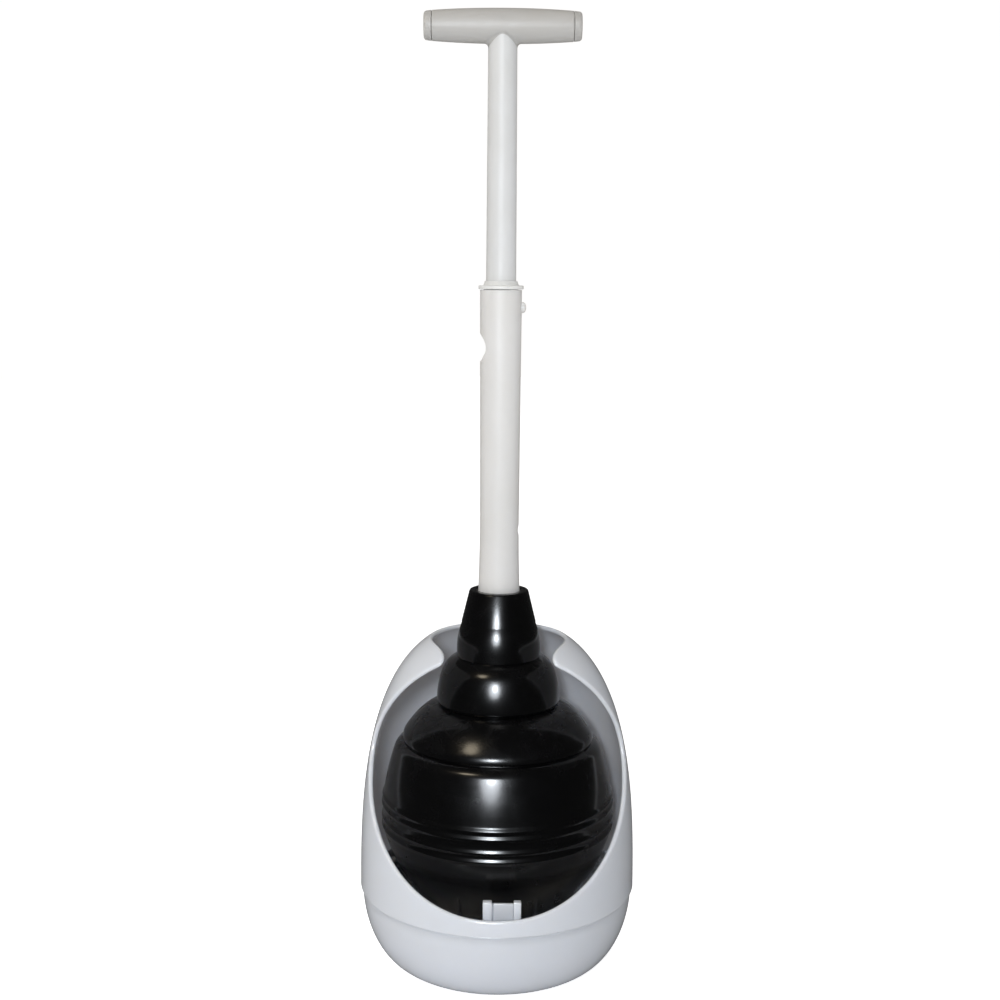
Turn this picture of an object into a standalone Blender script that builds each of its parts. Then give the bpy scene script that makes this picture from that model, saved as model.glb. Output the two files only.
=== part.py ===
"""Toilet plunger with a telescoping T-handle, standing in its open-fronted caddy.

Frame: metres, +Z up. The origin is on the floor under the caddy's centre, and the
caddy's opening faces -Y. Everything round shares the Z axis.
"""

import math

import bmesh
import bpy

MM = 0.001
GAP = 0.3  # clearance between touching pieces, mm

# ---- driving dimensions, mm -------------------------------------------------
# T-handle
BAR_Z = 596.0
BAR_HALF = 48.2
BAR_R_MID = 10.5
BAR_R_END = 8.6
CAP_FACE = 5.0  # visible length of each end cap
CAP_PLUG_R = 6.2
CAP_PLUG = 9.0
SOCKET_TOP = 601.0

# telescoping tubes
INNER_R = 9.4
INNER_R_TOP = 8.9
INNER_BORE = 7.2
INNER_FOOT = 378.0
OUTER_BORE = 10.9
OUTER_FOOT = 203.3
OUTER_TOP = 437.0
OUTER_R_TOP = 13.1
OUTER_R_WAIST = 12.4
OUTER_R_FOOT = 13.3
WAIST_Z = 292.0
COLLAR_R = 14.1
COLLAR_TOP = 439.7
COLLAR_LIP_TOP = 442.4
COLLAR_BORE = 9.65
COLLAR_SLEEVE = 6.5
WINDOW_Z = 401.0
WINDOW_R = 9.0

# snap button and its spring
BUTTON_Z = 426.0
BUTTON_R = 3.4
BUTTON_HOLE_R = 3.7
BUTTON_TIP = 15.8
BUTTON_BACK = 4.9
TRAVEL = 141.0  # telescope travel, between the two button holes

# bellows cup
NECK_TOP = 246.0
NECK_RIM_R = 19.1
NECK_FOOT_R = 24.0
NECK_FOOT_Z = 225.0
NECK_BORE = 13.6
DIAPHRAGM_TOP = 203.0
DIAPHRAGM = 6.0
SCREW_HOLE_R = 3.3
CUP_WALL = 3.2
LIP_Z = 44.3
TIER_1_R = 27.0
TIER_1_WIDEST = 208.0
TIER_2_TOP = 202.8
TIER_2_R = 39.8
TIER_2_WIDEST = 174.0
TIER_2_BARREL = 55.0  # radius of its gently curved side
TIER_2_SHOULDER = 15.0
TIER_2_SHOULDER_Z = 194.0
TIER_3_TOP = 171.0
TIER_3_R = 62.0
TIER_3_NOSE = 8.6
TIER_3_NOSE_Z = 149.0
TIER_4_TOP = 147.5
TIER_4_SHOULDER = 9.5
TIER_4_SHOULDER_Z = 141.0
TIER_4_R = 75.0
TIER_4_WIDEST = 105.0
TIER_4_FOOT = 90.0
CREASE_TUCK = 1.9
LIP_R = 52.0
BEADS = (111.0, 106.0, 97.3, 91.6)  # heights of the four moulded rings

# caddy
SHELL_R = 89.8
SHELL_FOOT = 50.0
SHELL_CENTRE = 40.0
SHELL_RISE = 184.0
SHELL_POWER = 2.8
SHELL_WALL = 3.0
CROWN_HOLE_R = 43.6
TIP_GAP_HALF = 33.5
EGG_CENTRE = 131.0
EGG_HALF_WIDTH = 82.4
EGG_BELOW = 70.8
EGG_ABOVE = 84.5
EGG_POWER = 2.2
HORN_ROUND = 5.0
SKIRT_FOOT = 46.3  # the shell's skirt sits inside the base's rim
SKIRT_R = 86.6
SKIRT_BORE = 84.9
BASE_TOP = 49.7
BASE_R = 88.6
BASE_FLOOR_R = 62.0
BASE_BOTTOM = 1.0
BASE_WALL = 3.4
BASE_POWER = 1.9
TRAY_Z = 36.3
TRAY_T = 3.0
TRAY_R = 84.0
RIB_TOP = 44.0
TAB_WIDTH = 23.4
TAB_TOP = 69.0
TAB_Y = -82.0
TAB_X = 3.3
FOOT_R = 7.0
FOOT_RING = 50.0

# facets round each turned piece, and rings up the shell
ROUND_BIG = 44
ROUND_SHELL = 56
RINGS_SHELL = 18
ROUND_CUP = 36
ROUND_MID = 28
ROUND_SMALL = 20


SHARP = math.radians(32)  # edges sharper than this stay crisp

# ---- finishes: colour, roughness, metallic ----------------------------------
HANDLE_WHITE = ((0.78, 0.77, 0.74), 0.38, 0.0)
CADDY_WHITE = ((0.74, 0.76, 0.80), 0.2, 0.0)
CUP_BLACK = ((0.012, 0.012, 0.013), 0.14, 0.0)
BUSH_GREY = ((0.55, 0.55, 0.54), 0.45, 0.0)
SPRING_STEEL = ((0.6, 0.6, 0.62), 0.3, 1.0)
PAD_BLACK = ((0.06, 0.06, 0.06), 0.7, 0.0)


# ---- helpers ----------------------------------------------------------------
def clear_scene():
    for obj in list(bpy.data.objects):
        bpy.data.objects.remove(obj, do_unlink=True)


def piece_material(name, finish):
    """A material of the piece's own, from a (colour, roughness, metallic) finish."""
    rgb, rough, metallic = finish
    mat = bpy.data.materials.new(f"{name}_material")
    mat.use_nodes = True
    shader = mat.node_tree.nodes["Principled BSDF"]
    shader.inputs["Base Color"].default_value = (*rgb, 1.0)
    shader.inputs["Roughness"].default_value = rough
    shader.inputs["Metallic"].default_value = metallic
    mat.diffuse_color = (*rgb, 1.0)
    return mat


def add_object(name, bm, finish, origin=(0, 0, 0)):
    """Turn a bmesh in mm into a named object in metres, its origin at the point given in mm."""
    bmesh.ops.recalc_face_normals(bm, faces=bm.faces[:])
    for v in bm.verts:
        v.co = [(c - o) * MM for c, o in zip(v.co, origin)]
    mesh = bpy.data.meshes.new(name)
    bm.to_mesh(mesh)
    bm.free()
    obj = bpy.data.objects.new(name, mesh)
    obj.location = [o * MM for o in origin]
    bpy.context.scene.collection.objects.link(obj)
    mesh.materials.append(piece_material(name, finish))
    mesh.shade_smooth()
    mesh.set_sharp_from_angle(angle=SHARP)
    return obj


def revolved(loop, segments, axis="Z", centre=(0.0, 0.0, 0.0), bm=None):
    """Revolve a closed (radius, height) outline. Points at radius 0 become poles."""
    bm = bm or bmesh.new()
    rings = []
    for r, h in loop:
        count = 1 if r < 1e-9 else segments
        ring = []
        for k in range(count):
            a = 2 * math.pi * (k + 0.5) / segments
            x, y, z = r * math.cos(a), r * math.sin(a), h
            if axis == "X":
                x, y, z = z, x, y
            ring.append(bm.verts.new((x + centre[0], y + centre[1], z + centre[2])))
        rings.append(ring)
    pairs = list(zip(rings, rings[1:] + rings[:1]))
    for a, b in pairs:
        if len(a) == 1 and len(b) == 1:
            continue
        for k in range(segments):
            n = (k + 1) % segments
            corners = [a[k % len(a)], a[n % len(a)], b[n % len(b)], b[k % len(b)]]
            unique = list(dict.fromkeys(corners))
            bm.faces.new(unique)
    return bm


def box(bm, low, high):
    """A closed box between two corners."""
    verts = [
        bm.verts.new([(low, high)[(n >> k) & 1][k] for k in range(3)]) for n in range(8)
    ]
    sides = [(0, 2, 3, 1), (4, 5, 7, 6), (0, 1, 5, 4), (2, 6, 7, 3), (0, 4, 6, 2), (1, 3, 7, 5)]
    for side in sides:
        bm.faces.new([verts[k] for k in side])
    return bm


def scratch_object(name, bm):
    """A plain object used only as a boolean operand."""
    bmesh.ops.recalc_face_normals(bm, faces=bm.faces[:])
    for v in bm.verts:
        v.co = v.co * MM
    mesh = bpy.data.meshes.new(name)
    bm.to_mesh(mesh)
    bm.free()
    obj = bpy.data.objects.new(name, mesh)
    bpy.context.scene.collection.objects.link(obj)
    obj.hide_render = True
    obj.display_type = "WIRE"
    return obj


def combine(obj, operand, operation):
    """Apply one boolean to the object and drop the operand."""
    mod = obj.modifiers.new("cut", "BOOLEAN")
    mod.solver = "EXACT"
    mod.operation = operation
    mod.object = operand
    graph = bpy.context.evaluated_depsgraph_get()
    made = bpy.data.meshes.new_from_object(obj.evaluated_get(graph))
    obj.modifiers.clear()
    old = obj.data
    obj.data = made
    bpy.data.meshes.remove(old)
    bpy.data.objects.remove(operand, do_unlink=True)
    obj.data.shade_smooth()
    obj.data.set_sharp_from_angle(angle=SHARP)


def drill(obj, radius, start, end, segments=ROUND_SMALL):
    """Cut a round hole between two points (mm) that share an X, Y or Z line."""
    span = [abs(e - s) for s, e in zip(start, end)]
    along = span.index(max(span))
    low, high = sorted((start[along], end[along]))
    bm = bmesh.new()
    rings = []
    for h in (low, high):
        ring = []
        for k in range(segments):
            a = 2 * math.pi * (k + 0.5) / segments
            p = list(start)
            p[(along + 1) % 3] += radius * math.cos(a)
            p[(along + 2) % 3] += radius * math.sin(a)
            p[along] = h
            ring.append(bm.verts.new(p))
        rings.append(ring)
    bm.faces.new(rings[0])
    bm.faces.new(rings[1])
    for k in range(segments):
        n = (k + 1) % segments
        bm.faces.new([rings[0][k], rings[0][n], rings[1][n], rings[1][k]])
    combine(obj, scratch_object("drill", bm), "DIFFERENCE")


def thinned(points, tolerance):
    """Drop the points of a polyline that lie within a tolerance of its chords."""
    (x0, y0), (x1, y1) = points[0], points[-1]
    length = math.hypot(x1 - x0, y1 - y0) or 1e-9
    worst, at = 0.0, 0
    for k, (x, y) in enumerate(points[1:-1], 1):
        off = abs((x1 - x0) * (y0 - y) - (x0 - x) * (y1 - y0)) / length
        if off > worst:
            worst, at = off, k
    if worst <= tolerance:
        return [points[0], points[-1]]
    return thinned(points[: at + 1], tolerance)[:-1] + thinned(points[at:], tolerance)


def bump(z, centre, height, width):
    return height * math.exp(-(((z - centre) / width) ** 2))


# ---- bellows cup ------------------------------------------------------------
def arc_radius(z, centre_z, centre_r, radius):
    """Radius at height z of a convex arc in the cup's section."""
    return centre_r + math.sqrt(max(radius**2 - (z - centre_z) ** 2, 0.0))


def arc_from(z, start_z, start_r, slope, radius):
    """Radius at height z of an arc that leaves (start_r, start_z) upwards at a slope from upright."""
    lean = math.atan(slope)
    centre_z = start_z - radius * math.sin(lean)
    centre_r = start_r - radius * math.cos(lean)
    return arc_radius(z, centre_z, centre_r, radius)


def tier_2_radius(z):
    if z < TIER_2_WIDEST:
        t = (TIER_2_WIDEST - z) / (TIER_2_WIDEST - TIER_3_TOP)
        return TIER_2_R - CREASE_TUCK * t**2
    side = TIER_2_R - TIER_2_BARREL
    if z < TIER_2_SHOULDER_Z:
        return arc_radius(z, TIER_2_WIDEST, side, TIER_2_BARREL)
    rise = TIER_2_SHOULDER_Z - TIER_2_WIDEST
    start = arc_radius(TIER_2_SHOULDER_Z, TIER_2_WIDEST, side, TIER_2_BARREL)
    slope = rise / math.sqrt(TIER_2_BARREL**2 - rise**2)
    return arc_from(z, TIER_2_SHOULDER_Z, start, slope, TIER_2_SHOULDER)


def tier_3_radius(z):
    if z < TIER_3_NOSE_Z:
        t = (TIER_3_NOSE_Z - z) / (TIER_3_NOSE_Z - TIER_4_TOP)
        return TIER_3_R - 1.2 * t**2
    nose_top = TIER_3_NOSE_Z + 0.57 * TIER_3_NOSE
    nose = arc_radius(min(z, nose_top), TIER_3_NOSE_Z, TIER_3_R - TIER_3_NOSE, TIER_3_NOSE)
    if z <= nose_top:
        return nose
    start = TIER_2_R - CREASE_TUCK
    return start + (nose - start) * ((TIER_3_TOP - z) / (TIER_3_TOP - nose_top)) ** 0.52


def tier_4_radius(z):
    rise = TIER_4_SHOULDER_Z - TIER_4_WIDEST
    narrowing, power = 7.2, 1.6
    if z < TIER_4_SHOULDER_Z:
        t = max(z - TIER_4_WIDEST, 0.0) / rise
        return TIER_4_R - narrowing * t**power
    slope = narrowing * power / rise
    return arc_from(z, TIER_4_SHOULDER_Z, TIER_4_R - narrowing, slope, TIER_4_SHOULDER)


def cup_radius(z):
    """Outer radius of the cup: a conical neck, four widening tiers and a tucked-in lip."""
    if z >= NECK_FOOT_Z:
        t = (z - NECK_FOOT_Z) / (NECK_TOP - 1.0 - NECK_FOOT_Z)
        r = NECK_FOOT_R + (NECK_RIM_R - NECK_FOOT_R) * min(t, 1.0)
    elif z >= TIER_2_TOP:
        t = max(z - TIER_1_WIDEST, 0.0) / (NECK_FOOT_Z - TIER_1_WIDEST)
        r = TIER_1_R - (TIER_1_R - NECK_FOOT_R + 0.4) * t**2
    elif z >= TIER_3_TOP:
        r = tier_2_radius(z)
    elif z >= TIER_4_TOP:
        r = tier_3_radius(z)
    elif z >= TIER_4_FOOT:
        r = tier_4_radius(z)
    else:
        t = (TIER_4_FOOT - z) / (TIER_4_FOOT - LIP_Z)
        r = TIER_4_R - (TIER_4_R - LIP_R) * t**1.25
        r += 1.2 * math.sin(math.pi * t) ** 2
    for centre in BEADS:
        r += bump(z, centre, 0.9, 1.5)
    return r


def cup_inner_radius(z):
    """Inner radius of the cup: the outer surface moved in by the wall's thickness."""
    best = 1e9
    steps = 24
    for k in range(steps + 1):
        dz = CUP_WALL * (2 * k / steps - 1)
        zz = min(max(z + dz, LIP_Z - CUP_WALL), NECK_TOP - 1.0)
        outer = cup_radius(max(zz, LIP_Z))
        best = min(best, outer - math.sqrt(max(CUP_WALL**2 - dz**2, 0.0)))
    return best


def cup_loop():
    """The cup's whole section: neck, tiers, lip, inside, ceiling and the neck's well."""
    step = 0.4
    ceiling = DIAPHRAGM_TOP - DIAPHRAGM
    count = int((NECK_TOP - 1.0 - LIP_Z - 1.2) / step)
    span = NECK_TOP - 1.0 - LIP_Z - 1.2
    zs = [NECK_TOP - 1.0 - span * k / count for k in range(count + 1)]
    outer = thinned([(cup_radius(z), z) for z in zs], 0.3)
    count = int((ceiling - 1.5 - LIP_Z) / step)
    span = ceiling - 1.5 - LIP_Z - 1.2
    zs = [LIP_Z + 1.2 + span * k / count for k in range(count + 1)]
    inner = thinned([(cup_inner_radius(z), z) for z in zs], 0.6)
    rim = [(NECK_BORE, NECK_TOP - 0.8), (NECK_BORE + 0.8, NECK_TOP), (NECK_RIM_R - 1.2, NECK_TOP)]
    lip = [(LIP_R - 0.8, LIP_Z), (LIP_R - CUP_WALL + 0.6, LIP_Z)]
    top_in = inner[-1][0]
    roof = [(top_in - 1.5, ceiling), (SCREW_HOLE_R, ceiling)]
    well = [(SCREW_HOLE_R, DIAPHRAGM_TOP), (NECK_BORE, DIAPHRAGM_TOP)]
    return rim + outer + lip + inner + roof + well


# ---- caddy shell ------------------------------------------------------------
def shell_radius(z):
    t = max(z - SHELL_CENTRE, 0.0) / SHELL_RISE
    return SHELL_R * max(1 - t**SHELL_POWER, 0.0) ** (1 / SHELL_POWER)


def smooth_min(a, b, k):
    h = max(k - abs(a - b), 0.0) / k
    return min(a, b) - h * h * k * 0.25


def shell_keep(x, y, z):
    """Positive where the shell has wall, negative in the front opening.

    The crown hole's edge only rounds the two horns that it makes with the opening.
    """
    crown = math.hypot(x, y) - (CROWN_HOLE_R - 1.0)
    half_height = EGG_ABOVE if z > EGG_CENTRE else EGG_BELOW
    power = 2.0 if z > EGG_CENTRE else EGG_POWER
    u = abs(x) / EGG_HALF_WIDTH
    v = abs(z - EGG_CENTRE) / half_height
    egg = ((u**power + v**power) ** (1 / power) - 1) * 72.0
    channel = max(abs(x) - TIP_GAP_HALF, 190.0 - z)
    front = max(smooth_min(egg, channel, HORN_ROUND), y)
    return smooth_min(crown, front, 2 * HORN_ROUND)


def shell_meridian(count):
    """Even steps along the outer surface from the foot to the crown hole's edge."""
    path = []
    z = SHELL_FOOT
    while shell_radius(z) > CROWN_HOLE_R:
        path.append((shell_radius(z), z))
        z += 0.05
    length = [0.0]
    for a, b in zip(path, path[1:]):
        length.append(length[-1] + math.dist(a, b))
    picked = []
    k = 0
    for n in range(count + 1):
        target = length[-1] * n / count
        while k < len(length) - 1 and length[k] < target:
            k += 1
        picked.append(path[k])
    return picked


class ShellSurface:
    """Outer and inner points of the shell at (angle index, meridian index)."""

    def __init__(self, segments, rings):
        self.segments = segments
        self.line = shell_meridian(rings)
        self.normals = []
        for k in range(len(self.line)):
            a = self.line[max(k - 1, 0)]
            b = self.line[min(k + 1, len(self.line) - 1)]
            dr, dz = b[0] - a[0], b[1] - a[1]
            size = math.hypot(dr, dz)
            self.normals.append((dz / size, -dr / size))
        self.normals[0] = (1.0, 0.0)

    def at(self, u, v, depth=0.0):
        k = min(int(v), len(self.line) - 2)
        t = v - k
        (r0, z0), (r1, z1) = self.line[k], self.line[k + 1]
        (n0, m0), (n1, m1) = self.normals[k], self.normals[k + 1]
        r = r0 + (r1 - r0) * t - depth * (n0 + (n1 - n0) * t)
        z = z0 + (z1 - z0) * t - depth * (m0 + (m1 - m0) * t)
        a = 2 * math.pi * (u + 0.5) / self.segments - math.pi / 2
        return (r * math.cos(a), r * math.sin(a), z)


def crossing(surface, a, b):
    """Where the edge from a (kept) to b (cut) meets the opening's edge."""
    low, high = 0.0, 1.0
    for _ in range(24):
        mid = (low + high) / 2
        u = a[0] + (b[0] - a[0]) * mid
        v = a[1] + (b[1] - a[1]) * mid
        if shell_keep(*surface.at(u, v)) > 0:
            low = mid
        else:
            high = mid
    return (low + high) / 2


def clipped_patch(surface, rings):
    """Triangulate the shell's surface and trim it to the opening's edge.

    Returns the corners as (u, v) pairs and the polygons as lists of indices.
    """
    n = surface.segments
    corners = [[i, j] for j in range(rings + 1) for i in range(n)]
    value = [shell_keep(*surface.at(u, v)) for u, v in corners]

    def unwrapped(a, b):
        """Corner b, shifted by a whole turn where that brings it next to corner a."""
        u = corners[b][0]
        if u - corners[a][0] > n / 2:
            u -= n
        if corners[a][0] - u > n / 2:
            u += n
        return (u, corners[b][1])

    triangles = []
    for j in range(rings):
        for i in range(n):
            a, b = j * n + i, j * n + (i + 1) % n
            c, d = b + n, a + n
            if i < n // 2:
                triangles += [(a, b, c), (a, c, d)]
            else:
                triangles += [(a, b, d), (b, c, d)]
    edges = {tuple(sorted(e)) for t in triangles for e in zip(t, t[1:] + t[:1])}
    moves = {}
    for a, b in sorted(edges):
        if value[a] * value[b] >= 0:
            continue
        kept, cut = (a, b) if value[a] > 0 else (b, a)
        far = unwrapped(kept, cut)
        t = crossing(surface, corners[kept], far)
        point = [corners[kept][k] + (far[k] - corners[kept][k]) * t for k in range(2)]
        for end, share in ((kept, t), (cut, 1 - t)):
            if share < 0.3 and share < moves.get(end, (1.0, None))[0]:
                shift = n * round((corners[end][0] - point[0]) / n)
                moves[end] = (share, [point[0] + shift, point[1]])
    for end, (_, point) in moves.items():
        corners[end] = point
        value[end] = 0.0
    made = {}

    def cut_point(kept, cut):
        if (kept, cut) not in made:
            far = unwrapped(kept, cut)
            t = crossing(surface, corners[kept], far)
            near = corners[kept]
            corners.append([near[k] + (far[k] - near[k]) * t for k in range(2)])
            value.append(0.0)
            made[(kept, cut)] = len(corners) - 1
        return made[(kept, cut)]

    polygons = []
    for t in triangles:
        signs = [value[k] for k in t]
        if max(signs) <= 0:
            continue
        outline = []
        for a, b in zip(t, t[1:] + t[:1]):
            if value[a] >= 0:
                outline.append(a)
            if value[a] * value[b] < 0:
                kept, cut = (a, b) if value[a] > 0 else (b, a)
                outline.append(cut_point(kept, cut))
        polygons.append(outline)
    return corners, polygons


def shell_mesh(segments, rings):
    surface = ShellSurface(segments, rings)
    corners, polygons = clipped_patch(surface, rings)
    used = sorted({k for p in polygons for k in p})
    bm = bmesh.new()
    outer = {}
    inner = {}
    for k in used:
        u, v = corners[k]
        outer[k] = bm.verts.new(surface.at(u, v))
        if v < 1e-9:
            x, y, _ = surface.at(u, 0.0)
            size = SKIRT_BORE / math.hypot(x, y)
            inner[k] = bm.verts.new((x * size, y * size, SHELL_FOOT + 2.0))
        else:
            inner[k] = bm.verts.new(surface.at(u, v, SHELL_WALL))
    sides = {}
    for p in polygons:
        bm.faces.new([outer[k] for k in p])
        bm.faces.new([inner[k] for k in reversed(p)])
        for a, b in zip(p, p[1:] + p[:1]):
            sides[tuple(sorted((a, b)))] = sides.get(tuple(sorted((a, b))), 0) + 1
    skirt = [(SKIRT_R, SHELL_FOOT), (SKIRT_R, SKIRT_FOOT), (SKIRT_BORE, SKIRT_FOOT)]
    rows = {}
    for k in used:
        u, v = corners[k]
        if v < 1e-9:
            x, y, _ = surface.at(u, 0.0)
            size = math.hypot(x, y)
            rows[k] = [bm.verts.new((x * r / size, y * r / size, z)) for r, z in skirt]
    for (a, b), count in sides.items():
        if count != 1:
            continue
        if a in rows and b in rows:
            column_a = [outer[a], *rows[a], inner[a]]
            column_b = [outer[b], *rows[b], inner[b]]
        else:
            column_a = [outer[a], inner[a]]
            column_b = [outer[b], inner[b]]
        steps = list(zip(column_a, column_b))
        for (p, q), (r, s) in zip(steps, steps[1:]):
            bm.faces.new([p, q, s, r])
    return bm


# ---- caddy base and drip tray -----------------------------------------------
def base_radius(z):
    t = min(max((BASE_TOP - z) / (BASE_TOP - BASE_BOTTOM), 0.0), 1.0)
    return BASE_FLOOR_R + (BASE_R - BASE_FLOOR_R) * max(1 - t**BASE_POWER, 0.0) ** (1 / BASE_POWER)


def base_loop():
    """Outside from rim to floor, then the inside with its tray ledge and support ring."""
    count = 60
    rise = BASE_TOP - BASE_BOTTOM
    zs = [BASE_BOTTOM + rise * (1 - math.sin(math.pi / 2 * k / count)) for k in range(count + 1)]
    outer = thinned([(base_radius(z), z) for z in zs], 0.2)
    floor = BASE_BOTTOM + 3.0
    count = 20
    zs = [floor + 5.0 + (TRAY_Z - GAP - floor - 5.0) * k / count for k in range(count + 1)]
    inner = thinned([(base_radius(z) - BASE_WALL - 1.0, z) for z in zs], 0.4)
    ring = [(48.0, floor), (48.0, TRAY_Z - GAP), (45.0, TRAY_Z - GAP), (45.0, floor)]
    tray_bore = TRAY_R + 0.4
    rebate = SKIRT_R + GAP
    step = SKIRT_FOOT - GAP
    ledge = [(tray_bore, TRAY_Z - GAP), (tray_bore, step), (rebate, step), (rebate, BASE_TOP)]
    well = [(0.0, floor), *reversed(ring), (base_radius(floor + 5.0) - BASE_WALL - 5.0, floor)]
    return [*outer, (0.0, BASE_BOTTOM), *well, *inner, *ledge]


def tray_loop():
    top = TRAY_Z + TRAY_T
    return [
        (TRAY_R, 43.8),
        (TRAY_R, TRAY_Z + 0.6),
        (TRAY_R - 0.6, TRAY_Z),
        (0.0, TRAY_Z),
        (0.0, top),
        (TRAY_R - 4.0, top),
        (TRAY_R - 2.4, top + 1.6),
        (TRAY_R - 2.4, 43.8),
    ]


def build_tray():
    tray = add_object("drip_tray", revolved(tray_loop(), ROUND_BIG), CADDY_WHITE)
    top = TRAY_Z + TRAY_T
    for k in range(6):
        a = math.radians(60 * k)
        bm = box(bmesh.new(), (28.0, -1.5, top - 1.0), (64.0, 1.5, RIB_TOP))
        for v in bm.verts:
            x, y = v.co.x, v.co.y
            v.co.x = x * math.cos(a) - y * math.sin(a)
            v.co.y = x * math.sin(a) + y * math.cos(a)
        combine(tray, scratch_object("rib", bm), "UNION")
    half = TAB_WIDTH / 2
    pieces = [
        ((-half + 6.4, TAB_Y + 0.9, top - 1.0), (half - 4.8, TAB_Y + 3.2, TAB_TOP - 1.0)),
        ((-half, TAB_Y, top - 1.0), (-half + 5.6, TAB_Y + 5.0, TAB_TOP)),
        ((half - 4.6, TAB_Y, top - 1.0), (half, TAB_Y + 5.0, TAB_TOP)),
        ((-half + 5.0, TAB_Y + 1.9, top - 1.0), (half - 4.0, TAB_Y + 4.2, TAB_TOP - 1.6)),
    ]
    for low, high in pieces:
        low = (low[0] + TAB_X, low[1], low[2])
        high = (high[0] + TAB_X, high[1], high[2])
        combine(tray, scratch_object("tab", box(bmesh.new(), low, high)), "UNION")
    return tray


# ---- tubes and handle -------------------------------------------------------
def outer_tube_radius(z):
    if z > WAIST_Z:
        t = (z - WAIST_Z) / (OUTER_TOP - WAIST_Z)
        return OUTER_R_WAIST + (OUTER_R_TOP - OUTER_R_WAIST) * t
    t = min((WAIST_Z - z) / (WAIST_Z - NECK_TOP), 1.0)
    return OUTER_R_WAIST + (OUTER_R_FOOT - OUTER_R_WAIST) * t**2


def build_outer_tube():
    count = 40
    zs = [OUTER_TOP - (OUTER_TOP - OUTER_FOOT) * k / count for k in range(count + 1)]
    outside = thinned([(outer_tube_radius(z), z) for z in zs], 0.05)
    loop = [*outside, (OUTER_BORE, OUTER_FOOT), (OUTER_BORE, OUTER_TOP)]
    tube = add_object("outer_tube", revolved(loop, ROUND_MID), HANDLE_WHITE)
    drill(tube, BUTTON_HOLE_R, (0, 0, BUTTON_Z), (20, 0, BUTTON_Z))
    drill(tube, BUTTON_HOLE_R, (0, 0, BUTTON_Z - TRAVEL), (20, 0, BUTTON_Z - TRAVEL))
    drill(tube, WINDOW_R, (-20, 0, WINDOW_Z), (0, 0, WINDOW_Z), ROUND_MID)
    return tube


def bar_radius(x):
    t = min(abs(x) / BAR_HALF, 1.0)
    return BAR_R_MID - (BAR_R_MID - BAR_R_END) * t**2.2


def build_handle():
    end = BAR_HALF - CAP_FACE
    count = 16
    xs = [end - 2 * end * k / count for k in range(count + 1)]
    body = [(bar_radius(x), x) for x in xs]
    recess = end - CAP_PLUG - GAP
    hole = CAP_PLUG_R + GAP
    left = [(hole, -end), (hole, -recess), (0.0, -recess)]
    loop = [*body, *left, *[(r, -x) for r, x in reversed(left)]]
    bar = add_object(
        "t_handle",
        revolved(loop, ROUND_MID, "X", (0, 0, BAR_Z)),
        HANDLE_WHITE,
    )
    socket = INNER_R_TOP + GAP
    drill(bar, socket, (0, 0, BAR_Z - 30), (0, 0, SOCKET_TOP), ROUND_MID)
    for side, name in ((-1, "end_cap_left"), (1, "end_cap_right")):
        r = bar_radius(end + GAP)
        face = end + GAP
        tip = BAR_HALF
        profile = [
            (0.0, tip),
            (BAR_R_END - 2.2, tip),
            (BAR_R_END - 0.6, tip - 0.8),
            (BAR_R_END, tip - 2.0),
            (r, face),
            (CAP_PLUG_R, face),
            (CAP_PLUG_R, face - CAP_PLUG),
            (0.0, face - CAP_PLUG),
        ]
        profile = [(rr, side * x) for rr, x in profile]
        add_object(name, revolved(profile, ROUND_MID, "X", (0, 0, BAR_Z)), HANDLE_WHITE)


def build_inner_tube():
    top = SOCKET_TOP - GAP
    loop = [
        (INNER_R_TOP, top),
        (INNER_R_TOP, BAR_Z - BAR_R_MID),
        (INNER_R, COLLAR_LIP_TOP),
        (INNER_R, INNER_FOOT),
        (INNER_BORE, INNER_FOOT),
        (INNER_BORE, top),
    ]
    tube = add_object("inner_tube", revolved(loop, ROUND_MID), HANDLE_WHITE)
    drill(tube, BUTTON_HOLE_R, (0, 0, BUTTON_Z), (20, 0, BUTTON_Z))


def build_guide_bush():
    stem = INNER_BORE - GAP
    loop = [
        (0.0, 371.0),
        (OUTER_BORE - 1.1, 371.0),
        (OUTER_BORE - GAP, 371.8),
        (OUTER_BORE - GAP, INNER_FOOT - GAP),
        (stem, INNER_FOOT - GAP),
        (stem, INNER_FOOT + 10.0),
        (0.0, INNER_FOOT + 10.0),
    ]
    add_object("guide_bush", revolved(loop, ROUND_MID), BUSH_GREY)


def build_collar():
    sleeve = OUTER_BORE - GAP
    seat = OUTER_TOP + GAP
    loop = [
        (COLLAR_BORE + 0.5, COLLAR_LIP_TOP),
        (COLLAR_BORE + 1.5, COLLAR_TOP),
        (COLLAR_R - 0.5, COLLAR_TOP),
        (COLLAR_R, COLLAR_TOP - 0.6),
        (COLLAR_R, seat + 0.4),
        (COLLAR_R - 0.4, seat),
        (sleeve, seat),
        (sleeve, OUTER_TOP - COLLAR_SLEEVE),
        (COLLAR_BORE, OUTER_TOP - COLLAR_SLEEVE),
        (COLLAR_BORE, COLLAR_LIP_TOP),
    ]
    add_object("collar_bush", revolved(loop, ROUND_MID), HANDLE_WHITE)


def build_button():
    """A round-nosed pin along +X, through both tubes, backed by the snap spring."""
    loop = [
        (0.0, BUTTON_TIP),
        (1.6, BUTTON_TIP - 0.15),
        (2.8, BUTTON_TIP - 0.7),
        (BUTTON_R, BUTTON_TIP - 1.8),
        (BUTTON_R, BUTTON_BACK),
        (0.0, BUTTON_BACK),
    ]
    bm = revolved(loop, ROUND_SMALL, "X", (0, 0, BUTTON_Z))
    add_object("lock_button", bm, HANDLE_WHITE, origin=(BUTTON_BACK, 0, BUTTON_Z))


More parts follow.
